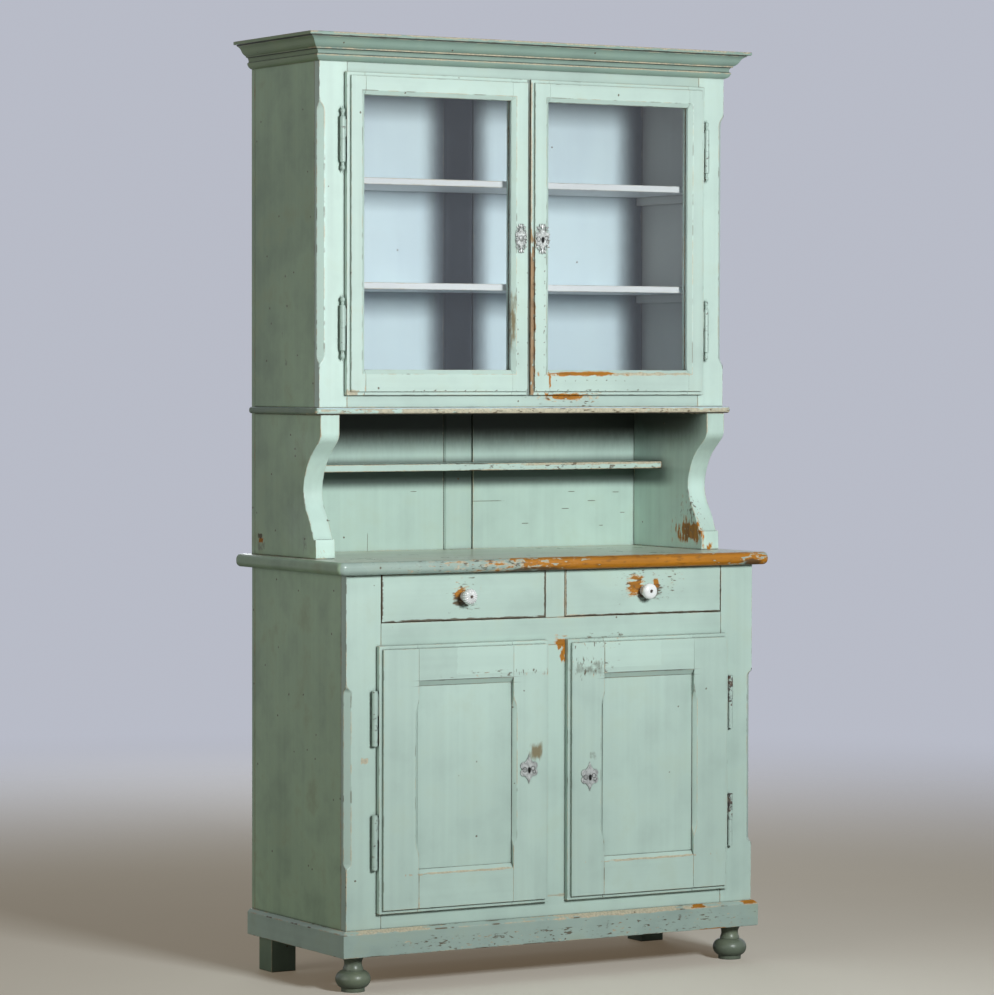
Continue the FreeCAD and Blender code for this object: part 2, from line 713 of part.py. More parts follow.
def build_base_case():
    """Sides, floor, shelf, back boards and corner blocks of the base."""
    sides = box(INNER_HALF, HALF_WIDTH, BASE_FRAME_BACK, BACK_FACE, CASE_Z, WORKTOP_Z)
    save("base_sides", both_sides(sides))
    floor_top = BASE_FLOOR_Z + BASE_FLOOR_THICKNESS
    save("base_floor", [box(-INNER_HALF, INNER_HALF, BASE_FRAME_BACK, BACK_FACE, BASE_FLOOR_Z, floor_top)])
    shelf_z = CASE_Z + BASE_SHELF_RISE
    save("base_shelf", [box(-INNER_HALF, INNER_HALF, BASE_FRAME_BACK + SHELF_SETBACK, BACK_FACE,
                            shelf_z, shelf_z + BASE_SHELF_THICKNESS)])
    board = CASE_WIDTH / BACK_BOARD_COUNT
    edges = [-HALF_WIDTH + board * index for index in range(BACK_BOARD_COUNT)]
    save("base_back_boards", [box(edge, edge + board, BACK_FACE, 0, CASE_Z, WORKTOP_Z) for edge in edges])
    blocks = []
    for y0 in (BASE_FRAME_BACK, BACK_FACE - CORNER_BLOCK_WIDTH):
        y1 = y0 + CORNER_BLOCK_WIDTH
        block = box(INNER_HALF - CORNER_BLOCK_WIDTH, INNER_HALF, y0, y1, CASE_Z, BASE_FLOOR_Z)
        blocks += both_sides(block)
    save("corner_blocks", blocks)


def build_base_front(locks, hinges):
    """Stiles, rails and drawer divider of the base, cut for the lock bolts and hinge blades."""
    stile = box(BASE_STILE_EDGE, HALF_WIDTH, BASE_FRONT, BASE_FRAME_BACK, CASE_Z, WORKTOP_Z)
    chamfer = stopped_chamfer(
        HALF_WIDTH, BASE_FRONT, -1,
        CASE_Z + BASE_CHAMFER_LOW_INSET, WORKTOP_Z - BASE_CHAMFER_HIGH_INSET,
        CASE_CHAMFER_WIDTH, BASE_CHAMFER_TONGUE,
    )
    stile = stile.cut([chamfer] + [hinge.stile_blade for hinge in hinges])
    save("base_stiles", both_sides(stile.Solids[0]))
    half_centre = CENTRE_STILE_WIDTH / 2
    centre = box(-half_centre, half_centre, BASE_FRONT, BASE_FRAME_BACK, DOOR_FLOOR_Z, MID_RAIL_Z)
    left_lock, right_lock = locks
    save("base_centre_stile", centre.cut([mirrored(left_lock.keeper), right_lock.keeper]).Solids)
    rails = [
        box(-BASE_STILE_EDGE, BASE_STILE_EDGE, BASE_FRONT, BASE_FRAME_BACK, z0, z1)
        for z0, z1 in ((CASE_Z, DOOR_FLOOR_Z), (MID_RAIL_Z, DRAWER_Z))
    ]
    save("base_rails", rails)
    half_divider = DRAWER_DIVIDER_WIDTH / 2
    half_partition = PARTITION_THICKNESS / 2
    post = box(-half_divider, half_divider, BASE_FRONT, BASE_FRAME_BACK, DRAWER_Z, WORKTOP_Z)
    partition = box(-half_partition, half_partition, BASE_FRAME_BACK, BACK_FACE, DRAWER_Z, WORKTOP_Z)
    save("drawer_divider", [post, partition])


def build_plinth_and_feet():
    """Plinth mouldings, bun feet in front and square legs behind."""
    top = CASE_Z + PLINTH_HEIGHT
    moves = (
        (PLINTH_PROJECTION, CASE_Z),
        (PLINTH_PROJECTION, top - PLINTH_BEVEL),
        (PLINTH_PROJECTION - PLINTH_BEVEL, top),
        (0, top),
    )
    save("plinth", mitred_moulding((0, CASE_Z), moves, BASE_DEPTH, PLINTH_PROJECTION))
    collar = FOOT_SHOULDER_HEIGHT + FOOT_COLLAR_HEIGHT
    foot = turned(
        Vector(HALF_WIDTH - FOOT_SIDE_INSET, BASE_FRONT + FOOT_FRONT_INSET, 0), Vector(0, 0, 1),
        (0, 0),
        (FOOT_RING_RADIUS, 0),
        (FOOT_RING_RADIUS, FOOT_RING_HEIGHT),
        ((FOOT_BALL_RADIUS, (FOOT_RING_HEIGHT + FOOT_SHOULDER_HEIGHT) / 2),
         (FOOT_SHOULDER_RADIUS, FOOT_SHOULDER_HEIGHT)),
        (FOOT_SHOULDER_RADIUS, collar),
        ((FOOT_NECK_RADIUS, (collar + FOOT_HEIGHT) / 2), (FOOT_TOP_RADIUS, FOOT_HEIGHT)),
        (0, FOOT_HEIGHT),
    )
    save("bun_feet", both_sides(foot))
    leg_x = HALF_WIDTH - REAR_LEG_SIDE_INSET
    leg = box(leg_x - REAR_LEG_WIDTH, leg_x, -REAR_LEG_BACK_INSET - REAR_LEG_WIDTH, -REAR_LEG_BACK_INSET,
              0, FOOT_HEIGHT)
    save("rear_legs", both_sides(leg))


def build_worktop():
    """Worktop with a rounded edge on the front and both ends."""
    reach = HALF_WIDTH + WORKTOP_SIDE_OVERHANG
    board = box(-reach, reach, BASE_FRONT - WORKTOP_FRONT_OVERHANG, WORKTOP_BACK_OVERHANG, WORKTOP_Z, NICHE_Z)
    save("worktop", [rounded_board(board, WORKTOP_CORNER_RADIUS, WORKTOP_THICKNESS * WORKTOP_EDGE_SHARE)])


def build_niche():
    """Curved side brackets, the narrow shelf and the back, which runs on up behind the upper cupboard."""
    nose = UPPER_DEPTH + BRACKET_NOSE
    x0 = HALF_WIDTH - BRACKET_THICKNESS
    curve = [
        Vector(x0, -depth_share * nose, NICHE_Z + height_share * NICHE_HEIGHT)
        for depth_share, height_share in BRACKET_CURVE_SHARES
    ]
    spline = Part.BSplineCurve()
    spline.interpolate(Points=curve, InitialTangent=Vector(0, 0, -1), FinalTangent=Vector(0, 0, -1))
    corners = (
        curve[-1],
        Vector(x0, BACK_FACE, NICHE_Z),
        Vector(x0, BACK_FACE, UPPER_FLOOR_Z),
        Vector(x0, -nose, UPPER_FLOOR_Z),
        curve[0],
    )
    edges = [Part.LineSegment(a, b).toShape() for a, b in zip(corners, corners[1:])]
    face = Part.Face(Part.Wire([spline.toShape()] + edges))
    save("niche_brackets", both_sides(face.extrude(Vector(BRACKET_THICKNESS, 0, 0))))
    shelf_z = NICHE_Z + NICHE_SHELF_RISE
    save("niche_shelf", [box(-x0, x0, BACK_FACE - NICHE_SHELF_DEPTH, BACK_FACE,
                             shelf_z, shelf_z + NICHE_SHELF_THICKNESS)])
    half_muntin = BACK_MUNTIN_WIDTH / 2
    muntin = box(-half_muntin, half_muntin, BACK_FACE, 0, NICHE_Z, CASE_TOP_Z)
    edge_stile = box(INNER_HALF, HALF_WIDTH, BACK_FACE, 0, NICHE_Z, CASE_TOP_Z)
    save("back_frame", [muntin] + both_sides(edge_stile))
    panel = box(half_muntin, INNER_HALF, -BACK_PANEL_THICKNESS, 0, NICHE_Z, CASE_TOP_Z)
    save("back_panels", both_sides(panel))


def build_upper_case(bolt_pocket, hinges):
    """Floor, sides, face frame, shelves and top board of the upper cupboard."""
    reach = HALF_WIDTH + UPPER_FLOOR_OVERHANG
    board = box(-reach, reach, UPPER_FRONT - UPPER_FLOOR_OVERHANG, BACK_FACE, UPPER_FLOOR_Z, UPPER_Z)
    edge_radius = UPPER_FLOOR_THICKNESS * UPPER_FLOOR_EDGE_SHARE
    save("upper_floor", [rounded_board(board, UPPER_FLOOR_CORNER_RADIUS, edge_radius)])
    side = box(INNER_HALF, HALF_WIDTH, UPPER_FRAME_BACK, BACK_FACE, UPPER_Z, CASE_TOP_Z)
    save("upper_sides", both_sides(side))
    stile = box(UPPER_STILE_EDGE, HALF_WIDTH, UPPER_FRONT, UPPER_FRAME_BACK, UPPER_Z, CASE_TOP_Z)
    chamfer = stopped_chamfer(
        HALF_WIDTH, UPPER_FRONT, -1,
        UPPER_Z + UPPER_CHAMFER_LOW_INSET, CORNICE_Z - UPPER_CHAMFER_HIGH_INSET,
        CASE_CHAMFER_WIDTH, UPPER_CHAMFER_TONGUE,
    )
    stile = stile.cut([chamfer] + [hinge.stile_blade for hinge in hinges])
    save("upper_stiles", both_sides(stile.Solids[0]))
    low_rail = box(-UPPER_STILE_EDGE, UPPER_STILE_EDGE, UPPER_FRONT, UPPER_FRAME_BACK,
                   UPPER_Z, UPPER_Z + UPPER_BOTTOM_RAIL_HEIGHT)
    high_rail = box(-UPPER_STILE_EDGE, UPPER_STILE_EDGE, UPPER_FRONT, UPPER_FRAME_BACK,
                    CORNICE_Z - UPPER_TOP_RAIL_HEIGHT, CASE_TOP_Z)
    save("upper_rails", [low_rail] + high_rail.cut(mirrored(bolt_pocket)).Solids)
    shelves = []
    for rise in UPPER_SHELF_RISES:
        z = UPPER_Z + rise
        shelves.append(box(-INNER_HALF, INNER_HALF, UPPER_FRAME_BACK + SHELF_SETBACK, BACK_FACE,
                           z, z + UPPER_SHELF_THICKNESS))
    save("upper_shelves", shelves)
    lid_z = CASE_TOP_Z + TOP_BOARD_THICKNESS
    save("top_board", [box(-HALF_WIDTH, HALF_WIDTH, UPPER_FRONT, 0, CASE_TOP_Z, lid_z)])


def build_cleats():
    """Cleats that carry the shelves on the case sides."""
    places = [(BASE_FRAME_BACK, CASE_Z + BASE_SHELF_RISE)]
    places += [(UPPER_FRAME_BACK, UPPER_Z + rise) for rise in UPPER_SHELF_RISES]
    cleats = []
    for frame_back, shelf_z in places:
        cleat = box(INNER_HALF - CLEAT_WIDTH, INNER_HALF, frame_back + CLEAT_SETBACK, BACK_FACE,
                    shelf_z - CLEAT_HEIGHT, shelf_z)
        cleats += both_sides(cleat)
    save("shelf_cleats", cleats)


def build_cornice():
    """Mitred cornice round the top of the upper cupboard."""
    moves = []
    for move in CORNICE_PROFILE_SHARES:
        sized = scaled_move(move, CORNICE_PROJECTION, CORNICE_HEIGHT)
        if isinstance(sized[0], tuple):
            moves.append(tuple((out, CORNICE_Z + rise) for out, rise in sized))
        else:
            moves.append((sized[0], CORNICE_Z + sized[1]))
    save("cornice", mitred_moulding((0, CORNICE_Z), moves, UPPER_DEPTH, CORNICE_PROJECTION))


def build_drawers():
    """Runners in the case, and two drawers with their porcelain knobs."""
    half_divider = DRAWER_DIVIDER_WIDTH / 2
    front = Rect(half_divider + DRAWER_GAP, BASE_STILE_EDGE - DRAWER_GAP,
                 DRAWER_Z + DRAWER_GAP, WORKTOP_Z - DRAWER_GAP)
    box_x0 = front.x0 + DRAWER_SIDE_INSET
    box_x1 = front.x1 - DRAWER_SIDE_INSET
    runner_z = DRAWER_Z - RUNNER_HEIGHT
    outer = box(box_x1 - RUNNER_WIDTH, INNER_HALF, BASE_FRAME_BACK, BACK_FACE, runner_z, DRAWER_Z)
    guide_z = DRAWER_Z + GUIDE_STRIP_HEIGHT
    guide = box(BASE_STILE_EDGE, INNER_HALF, BASE_FRAME_BACK, BACK_FACE, DRAWER_Z, guide_z)
    inner_reach = box_x0 + RUNNER_WIDTH
    centre = box(-inner_reach, inner_reach, BASE_FRAME_BACK, BACK_FACE, runner_z, DRAWER_Z)
    save("drawer_runners", both_sides(outer) + both_sides(guide) + [centre])

    front_back = BASE_FRONT + DRAWER_FRONT_THICKNESS
    box_back = BACK_FACE - DRAWER_BACK_GAP
    low = DRAWER_Z + RUNNER_GAP
    high = low + DRAWER_BOX_HEIGHT
    bottom_z = low + DRAWER_BOTTOM_RISE
    inner_x0 = box_x0 + DRAWER_SIDE_THICKNESS
    inner_x1 = box_x1 - DRAWER_SIDE_THICKNESS
    back_y = box_back - DRAWER_SIDE_THICKNESS
    front_board = slab(front, BASE_FRONT, front_back)
    carcase = [
        box(box_x0, inner_x0, front_back, box_back, low, high),
        box(inner_x1, box_x1, front_back, box_back, low, high),
        box(inner_x0, inner_x1, back_y, box_back, low, high),
        box(inner_x0, inner_x1, front_back, back_y, bottom_z, bottom_z + DRAWER_BOTTOM_THICKNESS),
    ]
    knob_place = Vector((front.x0 + front.x1) / 2, BASE_FRONT, (front.z0 + front.z1) / 2)
    outward = Vector(0, -1, 0)
    belly = KNOB_NECK_HEIGHT + (KNOB_PROJECTION - KNOB_NECK_HEIGHT) * KNOB_BELLY_SHARE
    knob = turned(
        knob_place, outward,
        (0, 0),
        (KNOB_FOOT_RADIUS, 0),
        (KNOB_FOOT_RADIUS, KNOB_FOOT_HEIGHT),
        (KNOB_NECK_RADIUS, KNOB_NECK_HEIGHT),
        ((KNOB_RADIUS, belly), (KNOB_FACE_RADIUS, KNOB_PROJECTION)),
        (0, KNOB_PROJECTION),
    )
    knob_tip = knob_place + outward * KNOB_PROJECTION
    screw = Part.makeCylinder(KNOB_SCREW_RADIUS, KNOB_SCREW_HEIGHT, knob_tip, outward)
    for side, turn in HANDS:
        save(f"{side}_drawer_front", [turn(front_board)])
        save(f"{side}_drawer_box", [turn(board) for board in carcase])
        save(f"{side}_drawer_knob", [turn(knob), turn(screw)])


def build_lower_doors(door, locks, hinges):
    """Two panelled doors with their hinge sockets, keyhole plates and locks."""
    panel_y = door.front - DOOR_PROUD + LOWER_PANEL_SINK
    panel = slab(grown(door.sight, LOWER_PANEL_GROOVE), panel_y, panel_y + LOWER_PANEL_THICKNESS)
    face_y = door.front - DOOR_PROUD
    plate_x = door.lip.x0 + LOWER_PLATE_OFFSET
    shared = rail_bevels(door) + stile_chamfers(door) + [panel] + [hinge.door_blade for hinge in hinges]
    key_y0 = face_y - PLATE_THICKNESS - OVERRUN
    key_y1 = door.front + DOOR_TONGUE - LOCK_THICKNESS
    for (side, turn), rise, lock in zip(HANDS, LOWER_LOCK_RISES, locks):
        plate_z = door.lip.z0 + rise
        key = keyhole(plate_x, plate_z, key_y0, key_y1)
        plate = key_plate(plate_x, plate_z, face_y, LOWER_PLATE_WIDTH, LOWER_PLATE_HEIGHT).cut(key)
        frame = door_frame(door, shared + [lock.seat, lock.slot, key])
        save(f"lower_{side}_door_frame", [turn(member) for member in frame])
        save(f"lower_{side}_door_panel", [turn(panel)])
        save(f"lower_{side}_hinge_sockets", [turn(hinge.socket) for hinge in hinges])
        save(f"lower_{side}_key_plate", [turn(plate.Solids[0])])
        save(f"lower_{side}_lock_case", [turn(lock.case.Solids[0])])
        save(f"lower_{side}_lock_bolt", [turn(lock.bolt)])
    save("lower_hinge_pintles", [half for hinge in hinges for half in both_sides(hinge.pintle)])


def build_upper_doors(door, lock, guide, bolt, hinges):
    """Two glazed doors: the right one has the lock, the left one a blind plate and an upright bolt."""
    face_y = door.front - DOOR_PROUD
    back = door.front + DOOR_TONGUE
    glass_y = face_y + GLASS_SINK
    bead_y = glass_y + GLASS_THICKNESS
    rebate = grown(door.sight, GLASS_REBATE)
    glass = slab(grown(rebate, -GLASS_CLEARANCE), glass_y, bead_y)
    beads = border(rebate, door.sight, bead_y, back)
    plate_x = door.lip.x0 + UPPER_PLATE_OFFSET
    plate_z = door.lip.z0 + UPPER_LOCK_RISE
    key = keyhole(plate_x, plate_z, face_y - PLATE_THICKNESS - OVERRUN, back - LOCK_THICKNESS)
    right_plate = key_plate(plate_x, plate_z, face_y, RIGHT_UPPER_PLATE_WIDTH, UPPER_PLATE_HEIGHT).cut(key)
    blind_plate = key_plate(plate_x, plate_z, face_y, LEFT_UPPER_PLATE_WIDTH, UPPER_PLATE_HEIGHT)
    boss = turned(
        Vector(plate_x, face_y - PLATE_THICKNESS, plate_z), Vector(0, -1, 0),
        (0, 0),
        (BOSS_RADIUS, 0),
        ((BOSS_RADIUS * math.sqrt(1 / 2), BOSS_HEIGHT * math.sqrt(1 / 2)), (0, BOSS_HEIGHT)),
    )
    shared = [glass_bevel(door), slab(rebate, glass_y, back + OVERRUN)]
    shared += [hinge.door_blade for hinge in hinges]
    left_frame = door_frame(door, shared + [mirrored(lock.keeper)])
    right_frame = door_frame(door, shared + [lock.seat, lock.slot, key])
    left_plate = blind_plate.fuse(boss).removeSplitter()
    for (side, turn), frame, plate in zip(HANDS, (left_frame, right_frame), (left_plate, right_plate)):
        save(f"upper_{side}_door_frame", [turn(member) for member in frame])
        save(f"upper_{side}_door_glass", [turn(glass)])
        save(f"upper_{side}_glazing_beads", [turn(bead) for bead in beads])
        save(f"upper_{side}_hinge_sockets", [turn(hinge.socket) for hinge in hinges])
        save(f"upper_{side}_key_plate", [turn(plate.Solids[0])])
    save("upper_right_lock_case", lock.case.Solids)
    save("upper_right_lock_bolt", [lock.bolt])
    save("upper_left_bolt_guide", [mirrored(guide)])
    save("upper_left_bolt", [mirrored(bolt)])
    save("upper_hinge_pintles", [half for hinge in hinges for half in both_sides(hinge.pintle)])


def main():
    """Build every piece of the buffet and write one file per node."""
    os.makedirs("parts", exist_ok=True)
    low_door = lower_door()
    low_hinges = door_hinges(low_door, LOWER_HINGE_LENGTH, LOWER_HINGE_INSET, False)
    low_locks = [
        cut_lock(low_door, low_door.lip.z0 + rise, LOWER_LOCK_WIDTH, LOWER_LOCK_HEIGHT, LOWER_BOLT_LENGTH)
        for rise in LOWER_LOCK_RISES
    ]
    high_door = upper_door()
    high_hinges = door_hinges(high_door, UPPER_HINGE_LENGTH, UPPER_HINGE_INSET, True)
    high_lock = cut_lock(high_door, high_door.lip.z0 + UPPER_LOCK_RISE, UPPER_LOCK_WIDTH, UPPER_LOCK_HEIGHT,
                         UPPER_BOLT_LENGTH)
    guide, bolt, bolt_pocket = slide_bolt(high_door)
    build_base_case()
    build_base_front(low_locks, low_hinges)
    build_plinth_and_feet()
    build_worktop()
    build_niche()
    build_upper_case(bolt_pocket, high_hinges)
    build_cleats()
    build_cornice()
    build_drawers()
    build_lower_doors(low_door, low_locks, low_hinges)
    build_upper_doors(high_door, high_lock, guide, bolt, high_hinges)


main()
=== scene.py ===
"""Looks of a painted two-part buffet: worn green paint over pine, a pale lining, old glass and small fittings.

Metres, +Z up, front towards -Y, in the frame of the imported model.
"""
import json
import math
import random
from collections import namedtuple

import bmesh
import bpy
from mathutils import Matrix, Vector

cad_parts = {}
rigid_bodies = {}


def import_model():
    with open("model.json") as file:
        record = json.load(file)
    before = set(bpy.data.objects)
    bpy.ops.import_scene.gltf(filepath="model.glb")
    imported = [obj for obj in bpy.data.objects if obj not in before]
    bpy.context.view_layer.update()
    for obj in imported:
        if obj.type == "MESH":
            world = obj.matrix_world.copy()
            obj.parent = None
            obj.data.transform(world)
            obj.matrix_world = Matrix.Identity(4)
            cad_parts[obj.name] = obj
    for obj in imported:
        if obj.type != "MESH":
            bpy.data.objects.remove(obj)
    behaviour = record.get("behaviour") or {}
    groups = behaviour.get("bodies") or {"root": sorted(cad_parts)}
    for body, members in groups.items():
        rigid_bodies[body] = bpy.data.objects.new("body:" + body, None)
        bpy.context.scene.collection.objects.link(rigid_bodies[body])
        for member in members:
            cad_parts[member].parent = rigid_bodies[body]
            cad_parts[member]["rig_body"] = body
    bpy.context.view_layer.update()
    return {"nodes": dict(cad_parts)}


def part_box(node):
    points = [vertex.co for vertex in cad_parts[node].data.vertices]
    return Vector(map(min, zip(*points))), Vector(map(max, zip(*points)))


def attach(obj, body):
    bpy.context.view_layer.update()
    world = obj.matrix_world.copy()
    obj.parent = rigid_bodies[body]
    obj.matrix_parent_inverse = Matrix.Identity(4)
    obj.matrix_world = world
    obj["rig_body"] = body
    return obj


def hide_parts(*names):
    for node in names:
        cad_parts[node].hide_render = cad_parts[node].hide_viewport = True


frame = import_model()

bl_info = {
    "name": "Painted buffet",
    "version": (1, 0, 0),
    "blender": (4, 5, 0),
    "location": "View3D > Sidebar > Buffet",
    "description": "Dresses the packed buffet in worn paint, glass, porcelain and metal",
    "category": "Object",
}

NODES = frame["nodes"]
MM = 0.001

# Angles that tell a real edge from the facets of a curve, and one flat face from the next
EDGE_ANGLE = math.radians(32)
FLAT_ANGLE = math.radians(0.3)
MERGE_DISTANCE = 1e-6
JOINT_GROOVE = 0.35 * MM
JOINT_REACH = 0.2

# Where the pale lining of the upper cupboard gives way to the green of the niche
LINING_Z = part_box("upper_floor")[0].z
CASE_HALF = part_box("upper_sides")[1].x

# A marked place of wear, dirt, painted shade or painted highlight: what shows there, and the block of space
# that it fills
Patch = namedtuple("Patch", "kind low high")

# Depths, in millimetres, of the fronts on which worn places lie
DRAWER_Y = (-210, -190)
DOOR_Y = (-230, -205)
LIP_Y = (-225, -190)
PLINTH_Y = (-220, -200)
UPPER_Y = (-110, -60)
TACK_Y = (-110, -95)
NICHE_BACK_Y = (190, 215)
ALL_Y = (-2000, 2000)
CRACK_WIDTH = 1.3


def block(kind, *ends):
    """A marked place of wear, dirt, painted shade or painted highlight from its ends along x, y and z, in
    millimetres.
    """
    return Patch(kind, *(Vector([end * MM for end in ends[first::2]]) for first in (0, 1)))


def blocks(*rows):
    """Marked places of wear, dirt, painted shade and painted highlight, each given as what shows and the ends
    of its block.
    """
    return tuple(block(*row) for row in rows)


def on_front(depth, *rows):
    """Marked places of wear, dirt, painted shade and painted highlight on an upright front, each given as what
    shows, its ends along x and its ends along z.
    """
    return tuple(block(kind, x0, x1, *depth, z0, z1) for kind, x0, x1, z0, z1 in rows)


STILE_RUB = on_front(DRAWER_Y, ("pine", 5, 24.5, 690, 714), ("pine", 12, 24.5, 666, 694))
LIP_CHIPS = on_front(LIP_Y, ("flecks", 85, 168, 703, 722))
SILL_RUB = on_front(UPPER_Y, ("pine", 46, 138, 1214, 1226.5))
SILL_SPECKS = on_front(UPPER_Y, ("flecks", 30, 180, 1198, 1232))
# Painted shade at the top of the niche, under the upper cupboard
NICHE_PAINTED_SHADE = on_front(NICHE_BACK_Y, ("painted_shade", -2000, 2000, 1118, 1355))

# Wear that goes with the shelf of the niche, and the shelf's shadow painted on the back and on the right
# bracket
SHELF_LOW, SHELF_HIGH = (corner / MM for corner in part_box("niche_shelf"))
SHELF_WEAR = on_front(
    (SHELF_LOW.y - 20, SHELF_LOW.y + 20), ("flecks", -50, 460, SHELF_LOW.z - 10, SHELF_HIGH.z),
    ("cream", 100, 460, SHELF_HIGH.z - 5, SHELF_HIGH.z))
SHELF_PAINTED_SHADOW = blocks((
    "painted_shadow", -2000, 2000, SHELF_LOW.y - 100, SHELF_HIGH.y + 100, SHELF_LOW.z - 36, SHELF_LOW.z + 22))
BRACKET_PAINTED_SHADOW = blocks((
    "painted_shadow", 440, 470, SHELF_LOW.y - 30, SHELF_HIGH.y + 60, SHELF_LOW.z - 36, SHELF_LOW.z + 20))

# Painted shadow of the meeting stiles of the glazed doors on the lining, and painted shade in its right-hand
# corner
LINING_PAINTED_SHADOWS = on_front(NICHE_BACK_Y, ("shade", -70, 60, 0, 3200), ("shade", 430, 580, 0, 3200))
SCUFFS = on_front(NICHE_BACK_Y, *(
    ("crack", x, x + reach, z, z + CRACK_WIDTH)
    for x, z, reach in (
        (36, 988.6, 77), (267, 969, 18), (334, 985.5, 20), (282, 1006.6, 18), (364, 930, 10), (163, 938, 16),
        (400, 1004, 16), (420, 958, 12), (-120, 1012, 16), (-330, 952, 12),
    )
))

